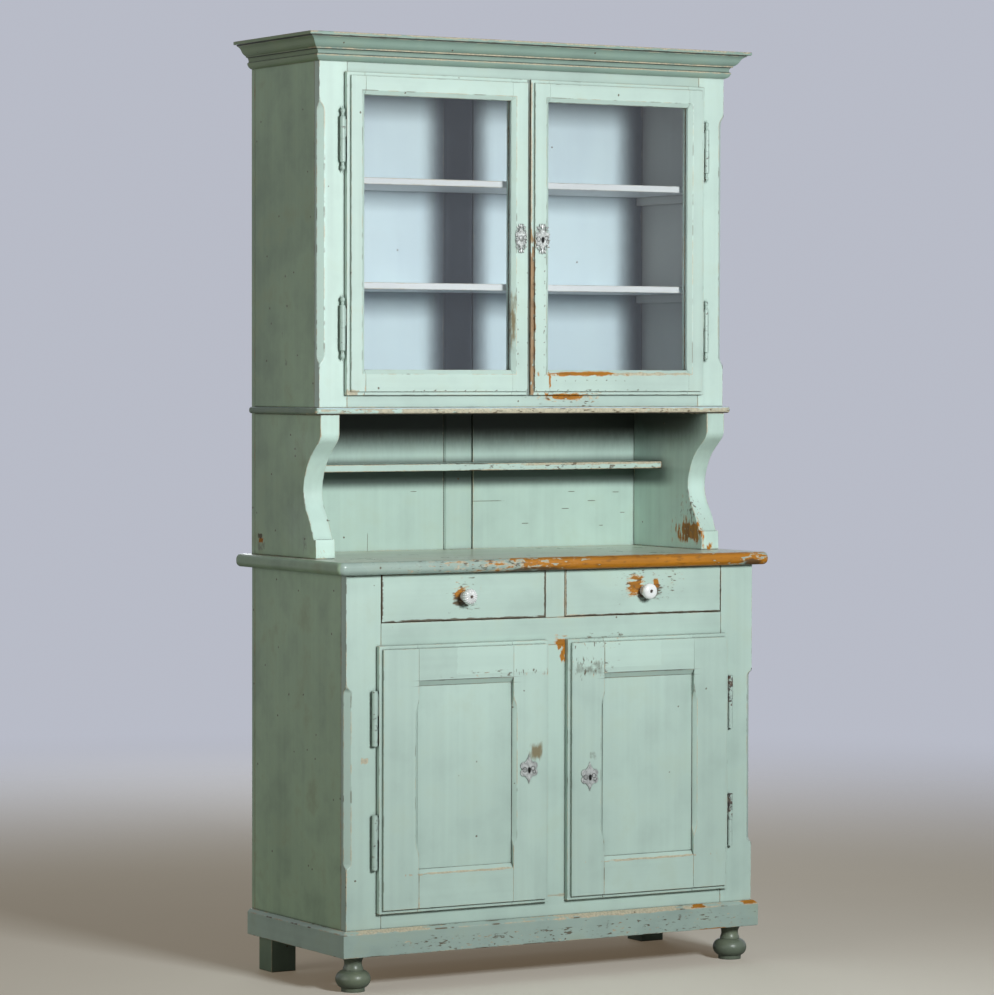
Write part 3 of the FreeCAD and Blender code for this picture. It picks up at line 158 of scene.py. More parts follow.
# Worn places, painted shade and painted highlights by node, read from the photograph
PATCHES = {
    # Umber lines along the edges of the drawer fronts are dirt and painted shadow of the gaps
    "right_drawer_front": on_front(
        DRAWER_Y, ("pine", 186, 215, 799, 834), ("pine", 247, 258, 815, 831), ("umber", 205, 262, 790, 812),
        ("flecks", 166, 300, 792, 858), ("cream", 20, 26.8, 764, 850), ("umber", 26.5, 28.2, 750, 860),
        ("umber", 0, 440, 756.5, 761.2), ("umber", 415.5, 419, 750, 840)
    ),
    "left_drawer_front": on_front(
        DRAWER_Y, ("pine", -243, -215, 796, 824), ("umber", -246, -214, 786, 806),
        ("flecks", -250, -190, 780, 845), ("umber", -419.5, -414, 750, 862),
        ("umber", -430, -20, 756.5, 762.2), ("umber", -27.5, -23.5, 750, 862)
    ),
    "base_centre_stile": STILE_RUB,
    "base_rails": STILE_RUB + LIP_CHIPS,
    "base_stiles": on_front(DRAWER_Y, ("cream", -464, -448, 472, 481)),
    "lower_right_door_frame": LIP_CHIPS + on_front(
        DOOR_Y, ("pale", 30, 254, 649, 706), ("flecks", 36, 136, 690, 709), ("smudge", 36, 112, 638, 660),
        # Dark lines over the panel and a dark mark at the keyhole are painted shade
        ("flecks", 34, 125, 632, 668), ("painted_shade", 112, 338, 625.3, 626.8), ("painted_shade", 112, 338, 636.9, 638.4),
        ("cream", 112, 338, 236, 239.8), ("smudge", 71, 93, 457, 471)
    ) + blocks(("painted_shade", 70, 80, -218.7, -200, 400, 430)),
    "lower_left_door_frame": on_front(
        DOOR_Y, ("pale", -249, -28.5, 646.6, 712.6), ("stain", -69, -42, 466, 492),
        ("flecks", -249, -28.5, 640, 653), ("cream", -338, -112, 236, 239.8),
        # Dark lines over the panel and a dark mark at the keyhole are painted shade
        ("painted_shade", -338, -112, 625.3, 626.8), ("painted_shade", -338, -112, 636.9, 638.4)
    ) + blocks(("painted_shade", -80, -70, -218.7, -200, 422, 452)),
    "worktop": blocks(
        ("pine", -105, 525, -245, -212.5, 845, 895), ("flecks", -345, -20, -240, -216.5, 855, 890),
        ("umber", -125, 0, -240, -218.5, 850, 866), ("umber", 455, 500, -240, -210, 850, 870)
    ),
    "upper_right_door_frame": SILL_SPECKS + SILL_RUB + blocks(
        ("tan", -2, 9.5, -104, -66, 1205, 1552), ("cream", 0, 4.5, -110, -70, 1545, 1900),
        ("pine", 48, 208, -106, -94, 1265, 1272), ("cream", 120, 385, -106, -94, 1265.5, 1271.5),
        # A dark mark at the keyhole is painted shade
        ("painted_shade", 22.5, 30.5, -101.7, -80, 1545, 1565), ("pine", 44.5, 48.5, -105, -85, 1238, 1266)
    ) + on_front(
        TACK_Y, ("tacks", 6, 12, 1230, 1545), ("tacks", 30, 35, 1262, 1520), ("tacks", 12, 300, 1230, 1236),
        ("tacks", 50, 240, 1252, 1258)
    ),
    "upper_left_door_frame": on_front(UPPER_Y, ("cream", -441.5, -416, 1223.5, 1234)) + blocks(
        # A dark strip along the meeting edge is painted shade in the gap
        ("stain", -47.5, -36.5, -101.5, -80, 1335, 1425), ("painted_shade", -9.5, 2, -101, -60, 1150, 1960)
    ) + on_front(
        TACK_Y, ("tacks", -12, -6, 1230, 1490), ("tacks", -36, -30, 1262, 1480),
        ("tacks", -300, -12, 1230, 1236)
    ),
    "upper_rails": SILL_RUB + SILL_SPECKS,
    "upper_floor": blocks(
        ("cream", -367, 530, -106, -85, 1178, 1202), ("flecks", -500, 530, -106, -85, 1176, 1204)
    ),
    "back_frame": NICHE_PAINTED_SHADE + SHELF_PAINTED_SHADOW,
    "niche_shelf": SHELF_WEAR,
    "back_panels": NICHE_PAINTED_SHADE + SHELF_PAINTED_SHADOW + SCUFFS + on_front(
        NICHE_BACK_Y, ("crack", -226.3, -225.2, 882, 922)
    ),
    "niche_brackets": BRACKET_PAINTED_SHADOW + blocks(
        # The dark top of the right bracket's inner face is painted shade under the upper cupboard
        ("painted_shade", 400, 470, -80, 250, 1118, 1355), ("pine", 440, 460, -68, 22, 906, 945),
        ("pine", 450, 490, -100, -70, 880, 897), ("flecks", 445, 475, -100, 10, 930, 1000),
        # Light strips on the curved bracket fronts are painted highlights
        ("painted_highlight", -497, -459, -120, 60, 898, 1010), ("painted_highlight", -497, -459, -120, 60, 1085, 1150),
        ("painted_highlight", 459, 497, -120, 60, 960, 1040), ("pine", -510, -490, 168, 186, 911, 920),
        ("umber", -510, -490, 172, 190, 920, 929), ("smudge", -510, -490, 160, 190, 892, 912),
        ("smudge", -510, -490, -30, -14, 905, 931), ("flecks", -510, -480, -100, -70, 882, 900)
    ),
    "upper_sides": blocks(
        ("smudge", -510, -490, 72, 81, 1343, 1354), ("smudge", -510, -490, 58, 67, 1287, 1298)
    ),
    # Dark lines in the quirks of the cornice are painted shade
    "cornice": on_front(
        ALL_Y, ("painted_shade", -2000, 2000, 1925.2, 1926.8), ("painted_shade", -2000, 2000, 1935.2, 1936.8),
        ("painted_shade", -2000, 2000, 1959.8, 1962.2)
    ) + blocks(
        ("cream", -530, 600, -140, -118, 1966, 1973), ("cream", -520, 600, -140, -60, 1937.2, 1939.4),
        ("cream", -520, 600, -140, -60, 1922.5, 1924.8)
    ),
    # A light strip on the chamfer of the left stile is a painted highlight
    "upper_stiles": blocks(("painted_highlight", -504, -482, -88, -64, 1262, 1850)),
    "plinth": on_front(
        PLINTH_Y, ("flecks", 100, 450, 76, 112), ("flecks", -360, 100, 74, 104),
        ("pine", 346, 372, 122.5, 130.5), ("pine", 360, 420, 72, 76), ("pine", 470, 512, 121.5, 130.5),
        ("cream", -30, 350, 121, 130), ("cream", -500, -300, 122, 130)
    ),
}

# Spacing and radii of the tack holes, and how far they stray from their line
TACK_PITCH = 25 * MM
TACK_RADII = (1.7 * MM, 0.8 * MM)
TACK_STRAY = 12 * MM

# What counts as a crevice: the share of open space at which it starts and is full
CREVICE_OPENNESS = (0.86, 0.40)
CREVICE_SAMPLES = 4

# Colours of dirt, wear and dust, and of painted shade and painted highlight, that stay the same on every coat
AGED_YELLOW = (0.48, 0.50, 0.27)
STAIN_BROWN = (0.21, 0.145, 0.055)
SMUDGE = (0.13, 0.12, 0.08)
PAINTED_HIGHLIGHT_GREEN = (0.70, 0.90, 0.82)
LINE_BROWN = (0.13, 0.09, 0.045)
WEATHERED_BROWN = (0.13, 0.085, 0.045)
UMBER = (0.085, 0.048, 0.020)
WORKTOP_WARMTH_AND_LIGHT = (0.88, 0.74, 0.58)
RUST = (0.15, 0.075, 0.035)
FORGE_SCALE = (0.03, 0.028, 0.026)
TARNISH_AND_KEYHOLE_SHADE = (0.020, 0.020, 0.018)
CRAZING = (0.35, 0.32, 0.26)
CORNER_DIRT_AND_SHADE = (0.16, 0.14, 0.11)
GROOVE_DIRT = (0.06, 0.057, 0.05)
CLEAN_GLASS = (0.92, 0.95, 0.95)
DUSTY_GLASS = (0.84, 0.86, 0.86)


def colour(name, description, default):
    """A colour that a user may change."""
    return bpy.props.FloatVectorProperty(
        name=name, description=description, subtype="COLOR", size=3, min=0.0, max=1.0, default=default)


def length(name, description, default):
    """A length that a user may change."""
    return bpy.props.FloatProperty(
        name=name, description=description, subtype="DISTANCE", unit="LENGTH", min=0.0, default=default)


def angle(name, description, default):
    """An angle that a user may change."""
    return bpy.props.FloatProperty(name=name, description=description, subtype="ANGLE", default=default)


def power(name, description, default):
    """The power of a lamp, which a user may change."""
    return bpy.props.FloatProperty(
        name=name, description=description, subtype="POWER", unit="POWER", min=0.0, default=default)


def pixels(name, description, default):
    """A length in the picture that a user may change."""
    return bpy.props.FloatProperty(name=name, description=description, min=1.0, default=default)


def place(name, description, default):
    """A point that a user may change."""
    return bpy.props.FloatVectorProperty(
        name=name, description=description, subtype="TRANSLATION", unit="LENGTH", size=3, default=default)


class BuffetColours(bpy.types.PropertyGroup):
    """Colours of the paint, the wood and the fittings."""

    front_green: colour("Front green", "Paint on the fronts of the base", (0.520, 0.660, 0.590))
    upper_green: colour("Upper green", "Cooler paint on the upper fronts", (0.570, 0.705, 0.640))
    side_green: colour("Side green", "Yellower paint on the sides", (0.450, 0.610, 0.430))
    foot_green: colour("Foot green", "Darker paint on the feet", (0.156, 0.186, 0.136))
    # The cornice's green is dark both as dusty paint and as painted shade of its downward faces
    cornice_green: colour("Cornice green", "Duller paint on the cornice", (0.280, 0.385, 0.330))
    return_green: colour("Return green", "Yellower paint on the ends of the cornice", (0.285, 0.385, 0.215))
    plinth_green: colour("Plinth green", "Duller paint on the plinth", (0.380, 0.480, 0.430))
    top_green: colour("Worktop green", "Duller, glossier paint on the worktop", (0.470, 0.590, 0.530))
    lining: colour("Lining", "Pale blue paint on the back of the upper cupboard", (0.680, 0.805, 0.970))
    # The lining grey is greyer paint, darkened also as painted shade on the inner sides, stiles, rails, top and
    # cleats
    lining_grey_shade: colour("Lining grey", "Greyer paint on the inner sides", (0.475, 0.460, 0.425))
    # The muntin's paint is the pale lining darkened as painted shadow of the meeting stiles
    muntin_shade: colour("Muntin grey", "Duller paint on the muntin behind the glass", (0.560, 0.660, 0.790))
    shelf_white: colour("Shelf white", "Paint on the shelves of the upper cupboard", (0.78, 0.79, 0.80))
    primer: colour("Primer", "Cream first coat that shows where the green is rubbed", (0.560, 0.470, 0.330))
    worn_pine: colour("Worn pine", "Wood that shows where the paint has gone", (0.500, 0.185, 0.005))
    inner_pine: colour("Inner pine", "Unpainted wood inside the base", (0.500, 0.315, 0.155))
    back_pine: colour("Back pine", "Greyed wood behind the buffet", (0.500, 0.400, 0.290))
    # Grime darkens the chips as dirt, and the corners, gaps and recesses as dirt and painted shade
    grime_and_shade: colour("Grime", "Dirt in the corners and chips", (0.060, 0.058, 0.042))
    iron: colour("Iron", "Bare iron of the hinges and locks", (0.110, 0.100, 0.092))
    silver: colour("Silver", "Pressed metal of the keyhole plates", (0.620, 0.630, 0.600))
    porcelain: colour("Porcelain", "Glaze of the knobs", (0.975, 0.975, 0.970))


class BuffetSizes(bpy.types.PropertyGroup):
    """Small shapes that the finish adds to the boards and fittings."""

    board_edge: length("Board edge", "Rounding along the edges of the case boards", 1.6 * MM)
    door_edge: length("Door edge", "Rounding along the edges of the doors", 1.0 * MM)
    iron_edge: length("Iron edge", "Rounding along the edges of the fittings", 0.5 * MM)
    muntin_chamfer: length("Muntin chamfer", "Width of the chamfer on the muntin of the niche", 9.0 * MM)
    plate_relief: length("Plate relief", "Height of the pressed ridge on a keyhole plate", 1.2 * MM)
    flute_depth: length("Flute depth", "Depth of the flutes round the ribbed knob", 1.5 * MM)
    flute_count: bpy.props.IntProperty(
        name="Flutes", description="Number of flutes round the ribbed knob", min=6, max=40, default=18)


class BuffetStage(bpy.types.PropertyGroup):
    """The camera, the light and the floor."""

    camera_place: place("Camera", "Where the camera stands", (-4.41835, -7.40840, 1.27554))
    camera_yaw: angle("Yaw", "Turn of the camera to the right", 0.5354)
    camera_pitch: angle("Pitch", "Tilt of the camera upwards", -0.0315)
    camera_roll: angle("Roll", "Turn of the camera about its line of sight", 0.0019)
    focal_pixels: pixels("Focal length", "Focal length in pixels of the picture", 4026.8)
    picture_height: pixels("Picture height", "Longer side of the picture in pixels", 995.0)
    lamp_place: place("Lamp", "Middle of the soft lamp", (0.0, -3.50, 1.91))
    lamp_aim: place("Lamp aim", "Point that the lamp faces", (0.0, -0.10, 1.38))
    lamp_size: length("Lamp size", "Side of the soft lamp", 0.70)
    lamp_spread: angle("Lamp spread", "Width of the lamp's beam", math.radians(130))
    lamp_power: power("Lamp power", "Power of the soft lamp", 57.0)
    lamp_colour: colour("Lamp colour", "Slightly cool light of the soft lamp", (0.94, 1.0, 1.0))
    fill_place: place("Fill lamp", "Middle of the broad lamp on the left", (-4.60, -0.60, 1.30))
    fill_aim: place("Fill aim", "Point that the broad lamp faces", (-0.50, 0.0, 1.00))
    fill_size: length("Fill size", "Side of the broad lamp", 2.60)
    fill_power: power("Fill power", "Power of the broad lamp", 28.0)
    fill_colour: colour("Fill colour", "Slightly warm light of the broad lamp", (1.0, 0.99, 0.86))
    back_place: place("Back lamp", "Middle of the broad lamp behind", (1.80, 4.60, 2.00))
    back_aim: place("Back aim", "Point that the lamp behind faces", (0.0, 0.2, 1.0))
    back_power: power("Back power", "Power of the broad lamp behind", 45.0)
    ambient: colour("Ambient", "Light from all round", (0.066, 0.066, 0.062))
    backdrop: colour("Backdrop", "Pale ground behind the buffet", (0.480, 0.500, 0.575))
    floor_colour: colour("Floor", "Plain pale floor", (0.720, 0.690, 0.650))
    floor_glow: colour("Floor glow", "Warm light that the camera sees on the floor", (0.100, 0.076, 0.050))
    floor_bounce: bpy.props.FloatProperty(
        name="Floor bounce", description="Share of the floor's colour that lights the buffet from below",
        subtype="FACTOR", min=0.0, max=1.0, default=0.40)
    floor_radius: length("Floor radius", "Reach of the floor", 6.0)
    floor_fade: length("Floor fade", "Distance at which the floor starts to fade out", 1.6)


def colours():
    """Colour settings of the scene."""
    return bpy.context.scene.buffet_colours


def sizes():
    """Size settings of the scene."""
    return bpy.context.scene.buffet_sizes


def maths(operation, swapped=False):
    """A method of Socket that adds one Math node; swapped where the other value comes first."""
    def method(self, *others):
        values = (*others, self) if swapped else (self, *others)
        return self.shader.node("ShaderNodeMath", {"operation": operation}, dict(enumerate(values)))
    return method


class Socket:
    """One output of a shader; sums on it add Math nodes to the same shader."""

    def __init__(self, shader, socket):
        self.shader = shader
        self.socket = socket

    __add__ = maths("ADD")
    __radd__ = maths("ADD", swapped=True)
    __sub__ = maths("SUBTRACT")
    __rsub__ = maths("SUBTRACT", swapped=True)
    __mul__ = maths("MULTIPLY")
    __rmul__ = maths("MULTIPLY", swapped=True)
    __gt__ = maths("GREATER_THAN")
    __lt__ = maths("LESS_THAN")
    least = maths("MINIMUM")
    most = maths("MAXIMUM")
    root = maths("SQRT")
    fraction = maths("FRACT")
    size = maths("ABSOLUTE")

    def between(self, start, end):
        """Smooth step from 0 at start to 1 at end, which may be the lower value."""
        return self.shader.node(
            "ShaderNodeMapRange", {"interpolation_type": "SMOOTHSTEP"}, {0: self, 1: start, 2: end})

    def output(self, name):
        """Another output of the same node."""
        return Socket(self.shader, self.socket.node.outputs[name])


class Shader:
    """A node tree under construction."""

    def __init__(self, tree):
        self.tree = tree
        tree.nodes.clear()

    def node(self, kind, settings=None, inputs=None, output=0):
        """Adds a node of any type: its settings first, then the values or links of its sockets."""
        made = self.tree.nodes.new(kind)
        for name, value in (settings or {}).items():
            setattr(made, name, value)
        for key, value in (inputs or {}).items():
            if isinstance(value, Socket):
                self.tree.links.new(value.socket, made.inputs[key])
            else:
                made.inputs[key].default_value = value
        return Socket(self, made.outputs[output]) if len(made.outputs) else None

    def vector(self, operation, *vectors, output=0):
        """Vector maths on two vectors, or on one alone."""
        return self.node("ShaderNodeVectorMath", {"operation": operation}, dict(enumerate(vectors)), output)

    def where(self):
        """Object coordinates."""
        return self.node("ShaderNodeTexCoord", output="Object")

    def stored(self, name, output="Fac"):
        """What the mesh holds under a name."""
        return self.node("ShaderNodeAttribute", {"attribute_name": name}, output=output)

    def along(self):
        """Coordinates of the board itself: along its length, across it and through it."""
        return self.stored("grain", "Vector")

    def noise(self, vector, scale, detail=2.0, roughness=0.5):
        """Soft noise between 0 and 1."""
        return self.node("ShaderNodeTexNoise", None, {
            "Vector": vector, "Scale": scale, "Detail": detail, "Roughness": roughness})

    def stretched_noise(self, vector, scales, detail=3.0):
        """Noise with its own scale along each axis."""
        return self.noise(self.vector("MULTIPLY", vector, scales), 1.0, detail)

    def blend(self, mask, first, second):
        """Colour that goes from the first to the second by a mask."""
        inputs = {0: mask, 6: opaque(first), 7: opaque(second)}
        return self.node("ShaderNodeMix", {"data_type": "RGBA"}, inputs, output=2)

    def split(self, vector):
        """The three parts of a vector."""
        parts = self.node("ShaderNodeSeparateXYZ", None, {0: vector})
        return parts, parts.output("Y"), parts.output("Z")

    def bump(self, height, distance):
        """Normal of a surface with small relief."""
        return self.node("ShaderNodeBump", None, {"Height": height, "Distance": distance, "Strength": 1.0})

    def crevice(self, reach):
        """1 deep in a corner or gap, 0 on an open face."""
        openness = self.node(
            "ShaderNodeAmbientOcclusion", {"samples": CREVICE_SAMPLES}, {"Distance": reach}, output="AO")
        return openness.between(*CREVICE_OPENNESS)

    def surface(self, inputs):
        """Ends the tree in the standard surface with these inputs."""
        principled = self.node("ShaderNodeBsdfPrincipled", None, inputs)
        self.node("ShaderNodeOutputMaterial", None, {"Surface": principled})


def opaque(tone):
    """A colour with its alpha, or a socket as it is."""
    return tone if isinstance(tone, Socket) else (*tone, 1.0)


def shade(tone, factor):
    """A lighter or darker version of a colour."""
    return tuple(min(part * factor, 1.0) for part in tone)


def mixed(first, second, share):
    """A colour part of the way from one to another."""
    return tuple(a + (b - a) * share for a, b in zip(first, second))


def middle_of(node):
    """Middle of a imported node's box."""
    return sum(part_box(node), Vector()) / 2


def new_material(name):
    """An empty material and the shader that fills it."""
    material = bpy.data.materials.new(name)
    material.use_nodes = True
    return material, Shader(material.node_tree)


def wood_colour(shader, grain, tone):
    """Pine: long growth lines, broad light and dark bands, and a few knots."""
    wander = shader.stretched_noise(grain, (1.2, 9.0, 9.0), 2.0)
    lines = shader.stretched_noise(grain, (3.0, 130.0, 130.0), 4.0)
    bands = shader.node("ShaderNodeTexWave", {"bands_direction": "Y", "wave_profile": "SIN"}, {
        "Vector": shader.vector("MULTIPLY", grain, (0.25, 1.0, 1.0)), "Scale": 16.0, "Distortion": 5.0,
        "Detail": 2.0, "Detail Scale": 1.6}, output="Fac")
    knots = shader.node("ShaderNodeTexVoronoi", {"distance": "EUCLIDEAN"}, {
        "Vector": shader.vector("MULTIPLY", grain, (3.2, 8.0, 8.0)), "Scale": 1.0}, output="Distance")
    knot = knots.between(0.17, 0.06)
    base = shader.blend(wander.between(0.3, 0.7), shade(tone, 0.86), shade(tone, 1.16))
    base = shader.blend(bands * 0.55, base, shade(tone, 0.58))
    base = shader.blend(lines.between(0.48, 0.72) * 0.55, base, shade(tone, 0.50))
    base = shader.blend(knot * 0.85, base, shade(tone, 0.26))
    return base, lines * 0.6 + bands * 0.25 + knot * 0.3


def pine(name, tone, aged=0.3):
    """Unpainted pine, darker in patches with age, and darker in corners as dirt and painted shade."""
    material, shader = new_material(name)
    grain = shader.along()
    where = shader.where()
    wood, relief = wood_colour(shader, grain, tone)
    blotch = shader.noise(where, 5.0, 4.0)
    specks = shader.noise(where, 320.0, 2.0)
    # Darker in corners by ambient occlusion: dirt and painted shade
    dirt = shader.crevice(20 * MM)
    wood = shader.blend(blotch.between(0.45, 0.75) * aged, wood, shade(tone, 0.42))
    wood = shader.blend(specks.between(0.66, 0.74) * 0.5 * aged, wood, shade(tone, 0.25))
    wood = shader.blend(dirt * 0.65, wood, shade(tone, 0.22))
    shader.surface({
        "Base Color": wood,
        "Roughness": 0.62 + blotch * 0.2,
        "Normal": shader.bump(relief + specks * 0.2, 0.35 * MM),
    })
    return material


def near_edge(shader):
    """Distance of a point on a board to the nearest edge of that board."""
    low, high = (shader.stored(name, "Vector") for name in ("low", "high"))
    x, y, z = shader.split(shader.vector("MINIMUM", low, high))
    return x.least(y).most(x.most(y).least(z))


def patch_distance(shader, where, patches, square=False):
    """1 on the outline, rounded or square, of the nearest of several marked places; less inside, more outside.
    """
    nearest = None
    for patch in patches:
        share = [2 / side for side in patch.high - patch.low]
        offset = shader.vector("SUBTRACT", where, (patch.low + patch.high) / 2)
        offset = shader.vector("MULTIPLY", offset, share)
        if square:
            x, y, z = shader.split(shader.vector("ABSOLUTE", offset))
            reach = x.most(y).most(z)
        else:
            square_of = shader.vector("MULTIPLY", offset, offset)
            reach = shader.vector("LENGTH", square_of, output="Value").root()
        nearest = reach if nearest is None else nearest.least(reach)
    return nearest


def tack_holes(shader, where, patch, stagger):
    """Row of small holes along the middle of a worn place."""
    middle, reach = (patch.low + patch.high) / 2, (patch.high - patch.low) / 2
    parts = shader.split(where)
    along, across = (0, 2) if reach.x > reach.z else (2, 0)
    step = ((parts[along] * (1 / TACK_PITCH) + (stagger - 0.5) * 1.6).fraction() - 0.5) * TACK_PITCH
    aside = parts[across] - middle[across] + (stagger - 0.5) * TACK_STRAY
    inside = (parts[along] - middle[along]).size() < reach[along]
    return (step * step + aside * aside).root().between(*TACK_RADII) * inside


def painted(name, coat, patches=(), streaks=0.10, rub=1.0, dirt=1.0, gloss=0.36, chips=1.0, mottle=1.0,
            clouds=1.0, sheen=0.5):
    """Old brushed paint on wood: clouds, brush marks, rubbed edges, chips, dirt and painted shade in corners
    and gaps, and the worn places, painted shade and painted highlights given.
    """
    tones = colours()
    material, shader = new_material(name)
    where = shader.where()
    grain = shader.along()
    edge = near_edge(shader)
    tone = shader.stored("tone")

    cloud = shader.noise(where, 3.2, 3.0)
    patchy = shader.noise(where, 13.0, 4.0, 0.6)
    fine = shader.noise(where, 210.0, 3.0)
    medium = shader.noise(where, 62.0, 3.0, 0.6)
    brush = shader.stretched_noise(grain, (2.2, 85.0, 85.0), 3.0)
    sweep = shader.stretched_noise(grain, (1.1, 17.0, 17.0), 2.0)

    light = 0.62 + (cloud - 0.5) * (0.55 * clouds) + (patchy - 0.5) * (0.45 * mottle) - tone * 0.12
    light = light + (sweep - 0.5) * (streaks * 3.2) + (brush - 0.5) * (streaks * 2.0)
    paint = shader.blend(light.between(-0.15, 1.15), shade(coat, 0.70), shade(coat, 1.22))
    aged = mixed(shade(coat, 0.84), AGED_YELLOW, 0.26)
    paint = shader.blend(patchy.between(0.48, 0.74) * (0.34 * mottle), paint, aged)

    worn_by_place = shader.noise(where, 9.0, 2.0)
    coarse = shader.noise(where, 30.0, 3.0, 0.6)
    tear = shader.stretched_noise(grain, (42.0, 150.0, 150.0), 4.0)
    ragged = (coarse - 0.5) * 0.9 + (medium - 0.5) * 0.9 + (tear - 0.5) * 2.4
    by_kind = {}
    for patch in patches:
        by_kind.setdefault(patch.kind, []).append(patch)

    def spread(kind, soft=0.05, torn=1.0, square=False):
        if kind not in by_kind:
            return None
        distance = patch_distance(shader, where, by_kind[kind], square) + ragged * torn
        return distance.between(1 + soft, 1 - soft)

    pale = spread("pale", 0.015, 0.03, True)
    if pale:
        paint = shader.blend(pale * 0.48, paint, shade(coat, 1.16))
    smudge = spread("smudge", 0.35, 1.1)
    if smudge:
        paint = shader.blend(smudge * medium.between(0.36, 0.62) * 0.6, paint, SMUDGE)
    # A real stain, then a painted highlight, the painted shadow of the shelf, painted shade in recesses and
    # gaps, and the painted shadow of the meeting stiles
    for kind, soft, torn, strength, over in (
            ("stain", 0.55, 0.9, 0.88, STAIN_BROWN),
            ("painted_highlight", 0.42, 0.12, 0.62, PAINTED_HIGHLIGHT_GREEN),
            ("painted_shadow", 0.42, 0.04, 0.88, shade(coat, 0.14)),
            ("painted_shade", 0.25, 0.03, 0.92, shade(tones.grime_and_shade, 0.6)),
            ("shade", 0.52, 0.05, 0.93, shade(coat, 0.10))):
        mask = spread(kind, soft, torn)
        if mask:
            paint = shader.blend(mask * strength, paint, over)

    # Darker in corners and gaps by ambient occlusion: dirt and painted shade
    corner_dirt_and_shade = (shader.crevice(11 * MM) * (0.45 + 0.6 * medium)).least(1.0)
    paint = shader.blend(corner_dirt_and_shade * (0.62 * dirt), paint, mixed(tones.grime_and_shade, coat, 0.20))
    seam_dirt_and_shade = shader.crevice(3.6 * MM) * (0.55 + 0.8 * worn_by_place)
    paint = shader.blend(seam_dirt_and_shade.least(1.0) * (0.90 * dirt), paint, shade(tones.grime_and_shade, 0.6))

    bare_width = (worn_by_place - 0.52) * (13 * MM) + (medium - 0.5) * (6 * MM) + (fine - 0.5) * (4 * MM)
    rubbed = (edge - bare_width).between(1.0 * MM, -0.2 * MM) * rub
    line = (edge + (medium - 0.5) * (2 * MM)).between(1.6 * MM, 0.4 * MM) * (0.20 + 0.55 * worn_by_place) * rub
    primer = shader.blend(fine.between(0.35, 0.65), shade(tones.primer, 0.82), shade(tones.primer, 1.12))
    paint = shader.blend(line.most(rubbed * 0.9), paint, primer)
    gone = rubbed

    rim = shader.stored("rim") * rub
    worn_line = shader.noise(where, 26.0, 3.0)
    paint = shader.blend(rim * worn_line.between(0.46, 0.62) * 0.60, paint, primer)
    paint = shader.blend(rim * worn_line.between(0.44, 0.34) * 0.62, paint, LINE_BROWN)

    cream = spread("cream", 0.12, 1.0)
    if cream:
        paint = shader.blend(cream * 0.85, paint, primer)
        gone = gone.most(cream)
    bare = spread("pine")
    wood, relief = wood_colour(shader, grain, tones.worn_pine)
    weathered = shader.blend(0.45 + 0.3 * brush, wood, shade(tones.primer, 0.62))
    weathered = shader.blend(medium.between(0.46, 0.70) * 0.55, weathered, WEATHERED_BROWN)
    deep = (edge - bare_width).between(-1.6 * MM, -3.4 * MM) * rub
    tan = spread("tan", 0.10, 0.7)
    if tan:
        deep = deep.most(tan)
    paint = shader.blend(deep, paint, weathered)
    gone = gone.most(deep)
    if bare:
        fringe = (patch_distance(shader, where, by_kind["pine"]) + ragged * 1.3).between(1.34, 1.10)
        paint = shader.blend(fringe * 0.85, paint, primer)
        soiled = shader.blend(tear.between(0.50, 0.68) * 0.5, wood, shade(tones.worn_pine, 0.26))
        soiled = shader.blend(brush.between(0.55, 0.72) * 0.5, soiled, shade(tones.worn_pine, 1.35))
        paint = shader.blend(bare, paint, soiled)
        gone = gone.most(fringe)
    umber = spread("umber", 0.25, 0.8)
    if umber:
        paint = shader.blend(umber * 0.88, paint, UMBER)
        gone = gone.most(umber)

    cells = shader.node("ShaderNodeTexVoronoi", None, {"Vector": where, "Scale": 46.0}, output="Distance")
    choice = shader.split(cells.output("Color"))[0]
    ring = cells + (fine - 0.5) * 0.16
    dents = ring.between(0.13, 0.07) * (choice > 1.0 - 0.045 * chips)
    for patch in by_kind.get("tacks", ()):
        dents = dents.most(tack_holes(shader, where, patch, medium))
    flecks = spread("flecks", 0.25, 1.0)
    if flecks:
        broken = shader.stretched_noise(grain, (70.0, 230.0, 230.0), 5.0)
        thick = (coarse - 0.5) * 0.5
        dents = dents.most(flecks * (broken + thick).between(0.59, 0.67))
        scraped = flecks * (broken + thick).between(0.35, 0.29)
        paint = shader.blend(scraped * 0.85, paint, shader.blend(medium.between(0.48, 0.56), primer, weathered))
        gone = gone.most(scraped)
    crack = spread("crack", 0.2, 0.25)
    if crack:
        dents = dents.most(crack)
    paint = shader.blend(dents * 0.86, paint, mixed(tones.grime_and_shade, tones.worn_pine, 0.12))

    height = brush * 0.30 + medium * 0.22 + fine * 0.10 + cloud * 0.8 - gone * 0.55 - dents * 0.9
    height = height + relief * gone * 0.5
    shader.surface({
        "Base Color": paint,
        "Roughness": gloss + patchy * 0.10 + gone * 0.22 + corner_dirt_and_shade * 0.20 * dirt,
        "Specular IOR Level": sheen,
        "Normal": shader.bump(height, 0.45 * MM),
    })
    return material


